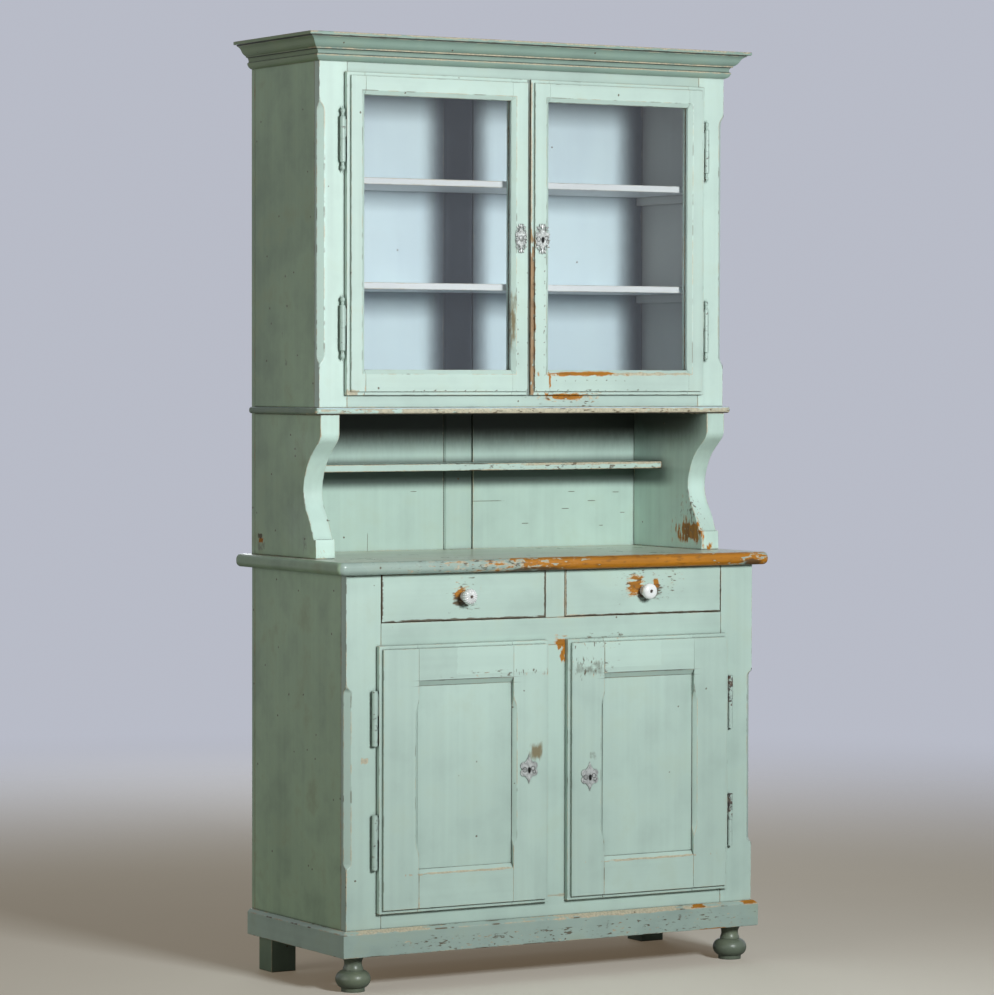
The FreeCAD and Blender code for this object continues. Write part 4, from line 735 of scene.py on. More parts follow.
def worn_iron(name, coat=None, bare=0.5):
    """Forged iron, under old paint where a coat is given, which is darkened in its corners as dirt and painted
    shade.
    """
    tones = colours()
    material, shader = new_material(name)
    where = shader.where()
    rust = shader.noise(where, 60.0, 5.0, 0.65)
    fine = shader.noise(where, 420.0, 3.0)
    metal = shader.blend(rust.between(0.42, 0.70), tones.iron, RUST)
    metal = shader.blend(fine.between(0.55, 0.75) * 0.5, metal, FORGE_SCALE)
    rough = 0.46 + rust * 0.3
    shine = rust.between(0.62, 0.40) * 0.8
    if coat:
        clear = (shader.noise(where, 95.0, 4.0, 0.6) * 0.75 + fine * 0.25).between(bare + 0.05, bare - 0.05)
        # The paint darkens in corners as dirt and painted shade
        corner = shader.crevice(6 * MM)
        cover = shader.blend(rust, shade(coat, 0.80), shade(coat, 1.04))
        cover = shader.blend(corner * 0.85, cover, tones.grime_and_shade)
        metal = shader.blend(clear, metal, cover)
        rough = rough * (1 - clear) + 0.40 * clear
        shine = shine * (1 - clear)
    shader.surface({
        "Base Color": metal,
        "Metallic": shine,
        "Roughness": rough,
        "Normal": shader.bump(rust * 0.6 + fine * 0.3, 0.25 * MM),
    })
    return material


# Painted shade at the keyhole of a plate: how far below its middle the keyhole lies, and dark rings beside it
# as (across, up, radius) in millimetres
KEYHOLE_DROP = 2 * MM
DARK_RINGS = ((9.0, 1.5, 4.2), (12.0, -6.0, 3.2), (-11.0, -1.0, 4.8))


def pressed_silver(name, node, keyed):
    """Pressed metal of one plate: a worn silver face, black tarnish in its hollows, painted shade in and round
    its keyhole, and dark rings beside it.
    """
    tones = colours()
    material, shader = new_material(name)
    where = shader.where()
    x, _, z = shader.split(shader.vector("SUBTRACT", where, middle_of(node)))
    below = z + KEYHOLE_DROP
    # Painted shade in and round the keyhole, and dark rings beside it
    keyhole_shade_and_rings = (x * x + below * below * 0.45).root().between(5.2 * MM, 3.4 * MM) * keyed
    for aside, up, radius in DARK_RINGS:
        dx, dz = x - aside * MM, z - up * MM
        ring = ((dx * dx + dz * dz).root() - radius * MM).size()
        keyhole_shade_and_rings = keyhole_shade_and_rings.most(ring.between(1.4 * MM, 0.5 * MM) * 0.75)
    cloud = shader.noise(where, 130.0, 4.0, 0.6)
    fine = shader.noise(where, 900.0, 2.0)
    hollow = shader.crevice(3.5 * MM)
    metal = shader.blend(cloud.between(0.35, 0.70), tones.silver, shade(tones.silver, 0.52))
    metal = shader.blend((hollow * 0.9).most(keyhole_shade_and_rings), metal, TARNISH_AND_KEYHOLE_SHADE)
    shader.surface({
        "Base Color": metal,
        "Metallic": 0.72 - hollow.most(keyhole_shade_and_rings) * 0.6,
        "Roughness": 0.40 + cloud * 0.22 + hollow * 0.2,
        "Normal": shader.bump(fine * 0.3 + cloud * 0.7, 0.18 * MM),
    })
    return material


def glazed_porcelain(name):
    """White glaze with fine crazing and a little dirt and painted shade near the foot."""
    tones = colours()
    material, shader = new_material(name)
    where = shader.where()
    cells = shader.node(
        "ShaderNodeTexVoronoi", {"feature": "DISTANCE_TO_EDGE"}, {"Vector": where, "Scale": 330.0},
        output="Distance")
    cloud = shader.noise(where, 90.0, 3.0)
    # Darker near the foot as dirt and painted shade
    corner = shader.crevice(5 * MM)
    glaze = shader.blend(cloud.between(0.4, 0.7), tones.porcelain, shade(tones.porcelain, 0.93))
    glaze = shader.blend(cells.between(0.035, 0.0) * 0.16, glaze, CRAZING)
    glaze = shader.blend(corner * 0.30, glaze, CORNER_DIRT_AND_SHADE)
    glaze = shader.blend(shader.stored("groove").between(0.86, 1.0) * 0.85, glaze, GROOVE_DIRT)
    shader.surface({
        "Base Color": glaze,
        "Roughness": 0.10 + cloud * 0.08,
        "Coat Weight": 0.4,
        "Normal": shader.bump(cloud, 0.10 * MM),
    })
    return material


def old_glass(name):
    """Drawn window glass: clear, with waves in what it mirrors and a patchy film of dust."""
    material, shader = new_material(name)
    where = shader.where()
    wave = shader.stretched_noise(where, (4.0, 4.0, 11.0), 2.0)
    dust = shader.noise(where, 30.0, 5.0, 0.65)
    aslant = shader.node("ShaderNodeLayerWeight", None, {"Blend": 0.5}, output="Facing")
    square = aslant * aslant
    mirror = 0.04 + square * square * aslant * 0.9
    shader.surface({
        "Base Color": shader.blend(dust, CLEAN_GLASS, DUSTY_GLASS),
        "Metallic": 1.0,
        "Roughness": 0.015 + dust.between(0.5, 0.8) * 0.08,
        "Alpha": (mirror * 1.6 + dust.between(0.55, 0.85) * 0.03).least(1.0),
        "Normal": shader.bump(wave, 1.2 * MM),
    })
    return material


def once(items):
    """Each item of a mesh once, in the order in which it first comes, so that every run gives the same mesh."""
    return list(dict.fromkeys(items))


def board_group(start, number, count):
    """Faces that hang together with one face across plain edges, all given the same number."""
    start[number] = count
    group = [start]
    todo = [start]
    while todo:
        face = todo.pop()
        for edge in face.edges:
            if len(edge.link_faces) != 2:
                continue
            for other in edge.link_faces:
                if not other[number]:
                    other[number] = count
                    group.append(other)
                    todo.append(other)
    return group


def faces_of(bm, number, board):
    """Faces of one numbered board."""
    return [face for face in bm.faces if face[number] == board]


def part_boards(bm, number):
    """Numbers the boards of a merged node and parts them where they touch; faces inside a joint go."""
    count = 0
    buried = []
    for face in bm.faces:
        if face[number]:
            continue
        count += 1
        group = board_group(face, number, count)
        if all(face.normal.angle(other.normal) < FLAT_ANGLE for other in group):
            buried += group
    if buried:
        bmesh.ops.delete(bm, geom=buried, context="FACES")
    for board in range(1, count + 1):
        faces = faces_of(bm, number, board)
        if faces:
            bmesh.ops.split(bm, geom=faces, use_only_faces=True)
    return count


def close_joints(bm, number, joint):
    """Gives each board its own end face where it met another, and marks that face."""
    open_edges = [edge for edge in bm.edges if edge.is_boundary]
    if not open_edges:
        return
    for face in bmesh.ops.holes_fill(bm, edges=open_edges, sides=0)["faces"]:
        neighbour = next(
            other for edge in face.edges for other in edge.link_faces if other is not face and other[number])
        face[number] = neighbour[number]
        face[joint] = 1
    bmesh.ops.recalc_face_normals(bm, faces=bm.faces)


def outer_edges(faces, joint):
    """Sharp convex edges of a board, parted into free ones and those at a joint."""
    parted = ([], [])
    for edge in once(edge for face in faces for edge in face.edges):
        if edge.is_manifold and edge.calc_face_angle_signed() > EDGE_ANGLE:
            parted[any(face[joint] for face in edge.link_faces)].append(edge)
    return parted


def round_over(bm, edges, radius, segments=2, rim=None):
    """Rounds edges over, and marks the new faces as rim where that layer is given."""
    if edges and radius > 0:
        made = bmesh.ops.bevel(
            bm, geom=edges, offset=radius, offset_type="OFFSET", affect="EDGES", segments=segments,
            profile=0.5, material=-1, clamp_overlap=False, loop_slide=True)
        if rim:
            for face in made["faces"]:
                face[rim] = 1.0


def note_boards(bm, number, joint, seed):
    """Stores, on every point, its place in its own board: along the grain, from each face, and a tone."""
    grain, low, high = (bm.verts.layers.float_vector.new(name) for name in ("grain", "low", "high"))
    tone = bm.verts.layers.float.new("tone")
    chance = random.Random(seed)
    boards = {}
    for face in bm.faces:
        boards.setdefault(face[number], []).append(face)
    for _, faces in sorted(boards.items()):
        verts = once(vert for face in faces for vert in face.verts)
        lowest = Vector([min(vert.co[axis] for vert in verts) for axis in range(3)])
        highest = Vector([max(vert.co[axis] for vert in verts) for axis in range(3)])
        order = sorted(range(3), key=lambda axis: lowest[axis] - highest[axis])
        shift = Vector([chance.uniform(-5, 5) for _ in range(3)])
        board_tone = chance.random()
        for face in faces:
            if face[joint]:
                axis = max(range(3), key=lambda a: abs(face.normal[a]))
                if face.normal[axis] > 0:
                    highest[axis] += JOINT_REACH
                else:
                    lowest[axis] -= JOINT_REACH
        for vert in verts:
            vert[grain] = Vector([vert.co[axis] for axis in order]) + shift
            vert[low] = vert.co - lowest
            vert[high] = highest - vert.co
            vert[tone] = board_tone


def boards_of(node, radius, segments=2, shape=None):
    """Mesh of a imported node: its boards parted, shaped where a function is given, and rounded over."""
    bm = bmesh.new()
    bm.from_mesh(NODES[node].data)
    bmesh.ops.remove_doubles(bm, verts=bm.verts, dist=MERGE_DISTANCE)
    number = bm.faces.layers.int.new("board")
    joint = bm.faces.layers.int.new("joint")
    rim = bm.faces.layers.float.new("rim")
    count = part_boards(bm, number)
    close_joints(bm, number, joint)
    bmesh.ops.dissolve_limit(bm, angle_limit=FLAT_ANGLE, verts=bm.verts, edges=bm.edges)
    if shape:
        shape(bm)
    for board in range(1, count + 1):
        free, _ = outer_edges(faces_of(bm, number, board), joint)
        round_over(bm, free, radius, segments, rim)
        _, at_joint = outer_edges(faces_of(bm, number, board), joint)
        round_over(bm, at_joint, min(JOINT_GROOVE, radius), 1)
    note_boards(bm, number, joint, node)
    return bm


def finish_piece(bm, name, body, materials, choose=None, replaces=()):
    """Turns a bmesh into a named piece that rides on a body and takes its finish from a slot."""
    for face in bm.faces:
        face.smooth = True
        face.material_index = choose(face.calc_center_median(), face.normal) if choose else 0
    for edge in bm.edges:
        edge.smooth = not edge.is_manifold or edge.calc_face_angle() < EDGE_ANGLE
    mesh = bpy.data.meshes.new(name)
    bm.to_mesh(mesh)
    bm.free()
    for material in materials:
        mesh.materials.append(material)
    piece = bpy.data.objects.new(name, mesh)
    bpy.context.scene.collection.objects.link(piece)
    shading = piece.modifiers.new("even_shading", "WEIGHTED_NORMAL")
    shading.keep_sharp = True
    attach(piece, body)
    if replaces:
        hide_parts(*replaces)
    return piece


def dress(node, materials, radius, choose=None, segments=2, shape=None):
    """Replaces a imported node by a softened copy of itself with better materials."""
    packed = NODES[node]
    bm = boards_of(node, radius, segments, shape)
    return finish_piece(
        bm, f"{node}_finish", packed["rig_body"], materials, choose, (node,))


# Shares of a normal that tell how far a face looks one way
SLIGHTLY, PARTLY, HALFWAY, MOSTLY, NEARLY, FULLY = 0.1, 0.3, 0.5, 0.7, 0.9, 0.97


def outward(centre, normal):
    """0 on faces that look out to the side or the front, and on rounded edges; 1 on the others."""
    return 0 if normal.y < -SLIGHTLY or normal.x * centre.x > SLIGHTLY * abs(centre.x) else 1


def front_only(centre, normal):
    """0 on faces that look to the front, 1 on the others."""
    return 0 if normal.y < -PARTLY else 1


def back_board(centre, normal):
    """0 inside, 1 behind and 2 at the ends, which show beside the painted sides."""
    if normal.y > HALFWAY:
        return 1
    return 2 if normal.x * centre.x > HALFWAY * NEARLY * CASE_HALF else 0


def lining_above(centre, normal):
    """0 in the niche, 1 in the upper cupboard, 2 behind and 3 at the ends, which show beside the sides."""
    if normal.y > HALFWAY:
        return 2
    if normal.x * centre.x > NEARLY * NEARLY * CASE_HALF:
        return 3
    return 1 if centre.z > LINING_Z else 0


def floor_faces(centre, normal):
    """1 on faces that look up, 2 on those that look down, 3 at the ends, 0 on the others."""
    if side_run(centre, normal):
        return 3
    if normal.z < -MOSTLY:
        return 2
    return 1 if normal.z > MOSTLY else 0


def flat_top(centre, normal):
    """1 on the flat of the worktop, 2 on its ends, 0 along its front."""
    if normal.z > FULLY:
        return 1
    return 2 if abs(normal.x) > abs(normal.y) else 0


def outer_side(centre, normal):
    """1 on the outer face of a side board, 0 on the others."""
    return 1 if normal.x * centre.x > NEARLY * abs(centre.x) else 0


def side_run(centre, normal):
    """1 on faces of a moulding that look to the side, 0 on the others."""
    return 1 if abs(normal.x) > abs(normal.y) + abs(normal.z) * 0.2 and normal.z < NEARLY else 0


def pale_below(centre, normal):
    """1 on faces that look down, 0 on the others."""
    return 1 if normal.z < -MOSTLY else 0


def wear_and_painted_light(node):
    """Worn places, painted shade and painted highlights of a node."""
    return PATCHES.get(node, ())


def green(node, level=1.0, **settings):
    """Front paint with the worn places, painted shade and painted highlights of one node, cooler on the upper
    cupboard.
    """
    coat = colours().upper_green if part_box(node)[0].z > LINING_Z else colours().front_green
    return painted(f"{node}_paint", shade(coat, level), wear_and_painted_light(node), **settings)


def side_paint(node):
    """Yellower, clouded paint for a side board."""
    return painted(
        f"{node}_side_paint", tuple(colours().side_green), wear_and_painted_light(node), streaks=0.13, rub=0.7, dirt=0.9,
        gloss=0.38, mottle=2.7, clouds=2.5)


def shaded_end_paint(node, level):
    """Side paint for the end of a board that stands out: dirtier, and darkened by a level as painted shade."""
    return painted(f"{node}_shaded_end_paint", shade(colours().side_green, level), wear_and_painted_light(node), streaks=0.13, rub=0.8,
                   dirt=1.5, chips=2.5, mottle=2.7)


def lining_paint(node, tone, patches=()):
    """Pale paint inside the upper cupboard."""
    return painted(f"{node}_lining", tuple(tone), patches, streaks=0.05, rub=0.3, dirt=0.6, gloss=0.46,
                   chips=0.6, mottle=0.3)


def inner_pine():
    """Unpainted inner wood."""
    return bpy.data.materials.get("inner_pine") or pine("inner_pine", tuple(colours().inner_pine))


def back_pine():
    """Greyed outer wood at the back."""
    return bpy.data.materials.get("back_pine") or pine("back_pine", tuple(colours().back_pine), 0.6)


def shade_dark_pine():
    """Bare wood on the underside of the upper cupboard, made dark as painted shade over the niche."""
    return pine("shade_dark_pine", shade(colours().back_pine, 0.2), 0.8)


class BUFFET_OT_base_case(bpy.types.Operator):
    """Dresses the sides and the face frame of the base."""

    bl_idname = "buffet.base_case"
    bl_label = "Base case"

    def execute(self, context):
        edge = sizes().board_edge
        dress("base_sides", [side_paint("base_sides"), inner_pine()], edge, outward)
        dress("base_stiles", [green("base_stiles"), inner_pine()], edge, outward)
        for node, rounding in (("base_centre_stile", 0.0), ("base_rails", edge), ("drawer_divider", edge)):
            dress(node, [green(node, rub=0.6), inner_pine()], rounding, front_only)
        return {"FINISHED"}


class BUFFET_OT_base_inside(bpy.types.Operator):
    """Dresses the floor, the shelf, the runners and the back boards of the base."""

    bl_idname = "buffet.base_inside"
    bl_label = "Base inside"

    def execute(self, context):
        edge = sizes().board_edge
        for node in ("base_floor", "base_shelf", "corner_blocks", "drawer_runners"):
            dress(node, [inner_pine()], edge)
        dress("base_back_boards", [inner_pine(), back_pine(), side_paint("base_back_boards")], edge, back_board)
        return {"FINISHED"}


class BUFFET_OT_plinth_and_feet(bpy.types.Operator):
    """Dresses the plinth, the bun feet and the rear legs."""

    bl_idname = "buffet.plinth_and_feet"
    bl_label = "Plinth and feet"

    def execute(self, context):
        edge = sizes().board_edge
        tones = colours()
        # The side faces of the plinth take a lighter copy of its paint: painted light on the sides
        finishes = [
            painted(name, shade(tones.plinth_green, level), wear_and_painted_light("plinth"), rub=1.5, chips=2.0, mottle=1.8)
            for name, level in (("plinth_paint", 1.0), ("plinth_side_lit_paint", 1.32))
        ]
        dress("plinth", finishes, edge, side_run)
        foot = painted("bun_feet_paint", tuple(tones.foot_green), rub=0.0, mottle=1.4, gloss=0.28)
        dress("bun_feet", [foot], 0.0)
        leg = painted("rear_legs_paint", shade(tones.side_green, 0.45), rub=0.7, mottle=1.6, streaks=0.2)
        dress("rear_legs", [leg], edge)
        return {"FINISHED"}


class BUFFET_OT_worktop(bpy.types.Operator):
    """Dresses the worktop, with its front edge rubbed bare."""

    bl_idname = "buffet.worktop"
    bl_label = "Worktop"

    def execute(self, context):
        # The flat top is lighter and warmer than the darker front edge: partly its own worn colour, partly
        # painted light on the top and painted shade on the edge
        coat = tuple(colours().top_green)
        top_tone_and_light = mixed(shade(coat, 1.10), WORKTOP_WARMTH_AND_LIGHT, 0.42)
        edge, top = (
            painted(name, tone, wear_and_painted_light("worktop"), rub=0.6, mottle=1.6, gloss=gloss, streaks=streaks)
            for name, tone, gloss, streaks in (
                ("worktop_edge_paint", shade(coat, 0.80), 0.22, 0.10), ("worktop_paint", top_tone_and_light, 0.24, 0.16))
        )
        dress("worktop", [edge, top, shaded_end_paint("worktop", 0.85)], 0.0, flat_top)
        return {"FINISHED"}


class BUFFET_OT_drawers(bpy.types.Operator):
    """Dresses the drawer fronts and the boxes behind them."""

    bl_idname = "buffet.drawers"
    bl_label = "Drawers"

    def execute(self, context):
        edge = sizes().door_edge
        for side in ("left", "right"):
            front, box = f"{side}_drawer_front", f"{side}_drawer_box"
            dress(front, [green(front, rub=0.8), inner_pine()], edge, front_only)
            dress(box, [inner_pine()], edge)
        return {"FINISHED"}


class BUFFET_OT_lower_doors(bpy.types.Operator):
    """Dresses the panelled doors of the base."""

    bl_idname = "buffet.lower_doors"
    bl_label = "Panelled doors"

    def execute(self, context):
        for side in ("left", "right"):
            rails, panel = f"lower_{side}_door_frame", f"lower_{side}_door_panel"
            dress(rails, [green(rails, dirt=1.35)], sizes().door_edge)
            dress(panel, [green(panel, rub=0.0, dirt=1.35)], 0.0)
        return {"FINISHED"}


class BUFFET_OT_upper_doors(bpy.types.Operator):
    """Dresses the glazed doors, their beads and their glass."""

    bl_idname = "buffet.upper_doors"
    bl_label = "Glazed doors"

    def execute(self, context):
        pane = old_glass("old_glass")
        for side in ("left", "right"):
            rails, beads = f"upper_{side}_door_frame", f"upper_{side}_glazing_beads"
            dress(rails, [green(rails, chips=1.6)], sizes().door_edge)
            dress(beads, [green(beads)], sizes().door_edge)
            dress(f"upper_{side}_door_glass", [pane], 0.0)
        return {"FINISHED"}


class BUFFET_OT_niche(bpy.types.Operator):
    """Dresses the curved brackets and the shelf of the niche."""

    bl_idname = "buffet.niche"
    bl_label = "Niche"

    def execute(self, context):
        edge = sizes().board_edge
        # The brackets' paint is lightened as painted highlight on their curved fronts
        coat = green("niche_brackets", 1.12, rub=1.2, gloss=0.26, streaks=0.16)
        dress("niche_brackets", [coat, side_paint("niche_brackets")], edge, outer_side, segments=3)
        dress("niche_shelf", [green("niche_shelf", rub=2.0)], edge)
        return {"FINISHED"}


def chamfer_muntin(bm):
    """Takes the front edges off the muntin in the middle of the back."""
    width = sizes().muntin_chamfer
    lowest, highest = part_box("back_frame")
    edges = [
        edge for edge in bm.edges
        if all(abs(vert.co.x) < CASE_HALF / 2 and vert.co.y < lowest.y + MM for vert in edge.verts)
        and abs(edge.verts[0].co.z - edge.verts[1].co.z) > (highest.z - lowest.z) / 2
    ]
    bmesh.ops.bevel(
        bm, geom=edges, offset=width, offset_type="WIDTH", affect="EDGES", segments=1, profile=0.5,
        material=-1, clamp_overlap=True)


def part_at_lining(bm):
    """Cuts every face where the lining meets the green of the niche."""
    everything = bm.verts[:] + bm.edges[:] + bm.faces[:]
    bmesh.ops.bisect_plane(bm, geom=everything, plane_co=(0, 0, LINING_Z), plane_no=(0, 0, 1))


def shape_back_frame(bm):
    """Shapes the muntin and parts its paint."""
    chamfer_muntin(bm)
    part_at_lining(bm)


class BUFFET_OT_backs(bpy.types.Operator):
    """Dresses the back of the niche and the upper cupboard."""

    bl_idname = "buffet.backs"
    bl_label = "Back"

    def execute(self, context):
        tones = colours()
        for node, tone, shape, dirt in (
                ("back_frame", tones.muntin_shade, shape_back_frame, 1.0),
                ("back_panels", tones.lining, part_at_lining, 0.45)):
            lining = lining_paint(node, tone, LINING_PAINTED_SHADOWS)
            # The niche's green is darkened a little as painted shade in the recess
            niche = green(node, 0.92, rub=0.5, chips=1.6, dirt=dirt, sheen=0.2)
            finishes = [niche, lining, back_pine(), side_paint(f"{node}_end")]
            dress(node, finishes, 0.0, lining_above, shape=shape)
        return {"FINISHED"}


class BUFFET_OT_upper_case(bpy.types.Operator):
    """Dresses the boards and shelves of the upper cupboard."""

    bl_idname = "buffet.upper_case"
    bl_label = "Upper case"

    def execute(self, context):
        edge = sizes().board_edge
        tones = colours()
        grey, pale = tones.lining_grey_shade, tones.lining
        dress("upper_sides", [side_paint("upper_sides"), lining_paint("upper_sides", grey)], edge, outward)
        # The stiles' paint is lightened as painted highlight
        dress("upper_stiles", [green("upper_stiles", 1.10), lining_paint("upper_stiles", grey)], edge, outward)
        # The rails' paint is darkened as painted shade, for the top rail under the cornice
        rails = [green("upper_rails", 0.86, rub=0.6), lining_paint("upper_rails", grey)]
        dress("upper_rails", rails, edge, front_only)
        finishes = [
            green("upper_floor", rub=1.2), lining_paint("upper_floor", pale), shade_dark_pine(),
            shaded_end_paint("upper_floor", 0.5)]
        dress("upper_floor", finishes, 0.0, floor_faces)
        dress("top_board", [back_pine(), lining_paint("top_board", grey)], edge, pale_below)
        white = painted(
            "shelf_white", tuple(tones.shelf_white), rub=0.5, streaks=0.04, mottle=0.2, gloss=0.42)
        dress("upper_shelves", [white], edge)
        dress("shelf_cleats", [lining_paint("shelf_cleats", grey)], edge)
        return {"FINISHED"}


class BUFFET_OT_cornice(bpy.types.Operator):
    """Dresses the cornice."""

    bl_idname = "buffet.cornice"
    bl_label = "Cornice"

    def execute(self, context):
        tones = colours()
        finishes = [
            painted(name, tuple(coat), wear_and_painted_light("cornice"), rub=rub, dirt=2.0, mottle=1.4)
            for name, coat, rub in (
                ("cornice_paint", tones.cornice_green, 1.2), ("cornice_side_paint", tones.return_green, 0.5))
        ]
        dress("cornice", finishes, sizes().door_edge, side_run)
        return {"FINISHED"}


class BUFFET_OT_hinges(bpy.types.Operator):
    """Dresses the lift-off hinges in worn paint."""

    bl_idname = "buffet.hinges"
    bl_label = "Hinges"

    def execute(self, context):
        edge = sizes().iron_edge
        coat = tuple(colours().front_green)
        iron = worn_iron("painted_iron", coat, 0.62)
        bared = worn_iron("bared_iron", coat, 0.47)
        for node in sorted(NODES):
            if "_hinge_" in node:
                dress(node, [bared if node == "lower_right_hinge_sockets" else iron], edge)
        return {"FINISHED"}


class BUFFET_OT_locks(bpy.types.Operator):
    """Dresses the lock cases and every bolt."""

    bl_idname = "buffet.locks"
    bl_label = "Locks and bolts"

    def execute(self, context):
        metal = worn_iron("lock_iron_worn")
        for node in sorted(NODES):
            if NODES[node].data.materials[0].name == "lock_iron":
                dress(node, [metal], sizes().iron_edge)
        return {"FINISHED"}


def lathe(bm, centre, profile, steps):
    """Turned shape about a line towards the front: its profile is (radius, distance from the centre)."""
    verts = [bm.verts.new(centre + Vector((radius, -out, 0))) for radius, out in profile]
    edges = [bm.edges.new(pair) for pair in zip(verts, verts[1:])]
    bmesh.ops.spin(
        bm, geom=verts + edges, cent=centre, axis=(0, 1, 0), angle=2 * math.pi, steps=steps, use_merge=True)
    bmesh.ops.remove_doubles(bm, verts=bm.verts, dist=MERGE_DISTANCE)


def of_kind(items, kind):
    """Those items of a mesh that are of one kind."""
    return [item for item in items if isinstance(item, kind)]


def slotted_head(bm, centre, radius, height, slot):
    """Screw head in two halves, with the slot between them."""
    for side in (-1, 1):
        middle = Matrix.Translation(centre + Vector((0, -height / 2, 0)))
        half = bmesh.ops.create_cone(
            bm, cap_ends=True, segments=SCREW_SEGMENTS, radius1=radius, radius2=radius * SCREW_TAPER,
            depth=height, matrix=middle @ Matrix.Rotation(math.pi / 2, 4, "X"))
        geometry = once(item for vert in half["verts"] for item in (vert, *vert.link_edges, *vert.link_faces))
        cut = bmesh.ops.bisect_plane(
            bm, geom=geometry, plane_co=centre + Vector((side * slot / 2, 0, 0)), plane_no=(-side, 0, 0),
            clear_outer=True)
        bmesh.ops.holes_fill(bm, edges=of_kind(cut["geom_cut"], bmesh.types.BMEdge), sides=0)


# Outline of a knob as (radius, distance from the drawer front) in millimetres, and where its flutes start
KNOB_PROFILE = (
    (0.0, 0.0), (10.0, 0.0), (10.2, 1.2), (9.4, 2.6), (7.2, 4.2), (6.6, 6.5), (6.9, 9.0), (9.0, 11.4),
    (12.8, 13.8), (15.8, 16.8), (17.0, 20.4), (16.9, 24.2), (16.1, 27.2), (14.0, 29.6), (10.4, 30.9),
    (5.0, 31.4), (3.9, 31.0), (3.4, 30.0), (3.4, 28.6), (0.0, 28.6),
)
KNOB_STEPS_PER_FLUTE = 8
KNOB_FACE_RADIUS = 4.6 * MM
KNOB_NECK_OUT = 11.4 * MM
KNOB_SCREW_OUT = 28.4 * MM
SCREW_RADIUS = 3.2 * MM
SCREW_HEIGHT = 1.9 * MM
SCREW_SLOT = 0.8 * MM
SCREW_SEGMENTS = 28
SCREW_TAPER = 0.86


def knob(node, fluted):
    """Porcelain knob on a drawer front: turned, and ribbed from its face to its belly where fluted."""
    centre = middle_of(node)
    centre.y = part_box(node)[1].y
    flutes = sizes().flute_count
    bm = bmesh.new()
    lathe(bm, centre, [(radius * MM, out * MM) for radius, out in KNOB_PROFILE], flutes * KNOB_STEPS_PER_FLUTE)
    bmesh.ops.recalc_face_normals(bm, faces=bm.faces)
    if fluted:
        groove = bm.verts.layers.float.new("groove")
        for vert in bm.verts:
            arm = Vector((vert.co.x - centre.x, 0, vert.co.z - centre.z))
            if arm.length > KNOB_FACE_RADIUS and centre.y - vert.co.y > KNOB_NECK_OUT:
                valley = 0.5 - 0.5 * math.cos(flutes * math.atan2(arm.z, arm.x))
                vert.co -= vert.normal * sizes().flute_depth * valley
                vert[groove] = valley
    return bm, centre


class BUFFET_OT_knobs(bpy.types.Operator):
    """Makes the porcelain knobs, the left one ribbed, and their screws."""

    bl_idname = "buffet.knobs"
    bl_label = "Knobs"

    def execute(self, context):
        glaze = glazed_porcelain("white_glaze")
        iron = worn_iron("knob_screw_iron")
        for side, fluted in (("left", True), ("right", False)):
            node = f"{side}_drawer_knob"
            body = NODES[node]["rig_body"]
            bm, centre = knob(node, fluted)
            finish_piece(bm, f"{node}_glazed", body, [glaze], replaces=(node,))
            bm = bmesh.new()
            slotted_head(bm, centre - Vector((0, KNOB_SCREW_OUT, 0)), SCREW_RADIUS, SCREW_HEIGHT, SCREW_SLOT)
            finish_piece(bm, f"{side}_knob_screw", body, [iron])
        return {"FINISHED"}


BEAD_SEGMENTS = 8
BEAD_STEPS_PER_RADIAN = 5
BUD_SHARE = 1.35


def bead_arc(bm, centre, radius, start, sweep, thickness):
    """Half-round bead that runs along an arc on an upright face, with a bud at each end; angles in degrees."""
    start, sweep = math.radians(start), math.radians(sweep)
    spot = centre + Vector((math.cos(start), 0, math.sin(start))) * radius
    turn = Matrix.Rotation(-start, 4, "Y")
    ring = bmesh.ops.create_circle(
        bm, segments=BEAD_SEGMENTS, radius=thickness, matrix=Matrix.Translation(spot) @ turn)
    edges = once(edge for vert in ring["verts"] for edge in vert.link_edges)
    steps = max(6, round(abs(sweep) * BEAD_STEPS_PER_RADIAN))
    bmesh.ops.spin(
        bm, geom=ring["verts"] + edges, cent=centre, axis=(0, -1, 0), angle=sweep, steps=steps)
    for end in (start, start + sweep):
        bud = centre + Vector((math.cos(end), 0, math.sin(end))) * radius
        dome(bm, bud, thickness * BUD_SHARE, thickness * BUD_SHARE)


def dome(bm, centre, radius, height, stretch=1.0, tilt=0.0):
    """Low round or leaf-shaped swelling on an upright face; tilt in degrees."""
    turn = Matrix.Rotation(-math.radians(tilt), 4, "Y")
    scale = Matrix.Diagonal((radius, height, radius * stretch, 1.0))
    bmesh.ops.create_icosphere(bm, subdivisions=3, radius=1.0, matrix=Matrix.Translation(centre) @ turn @ scale)


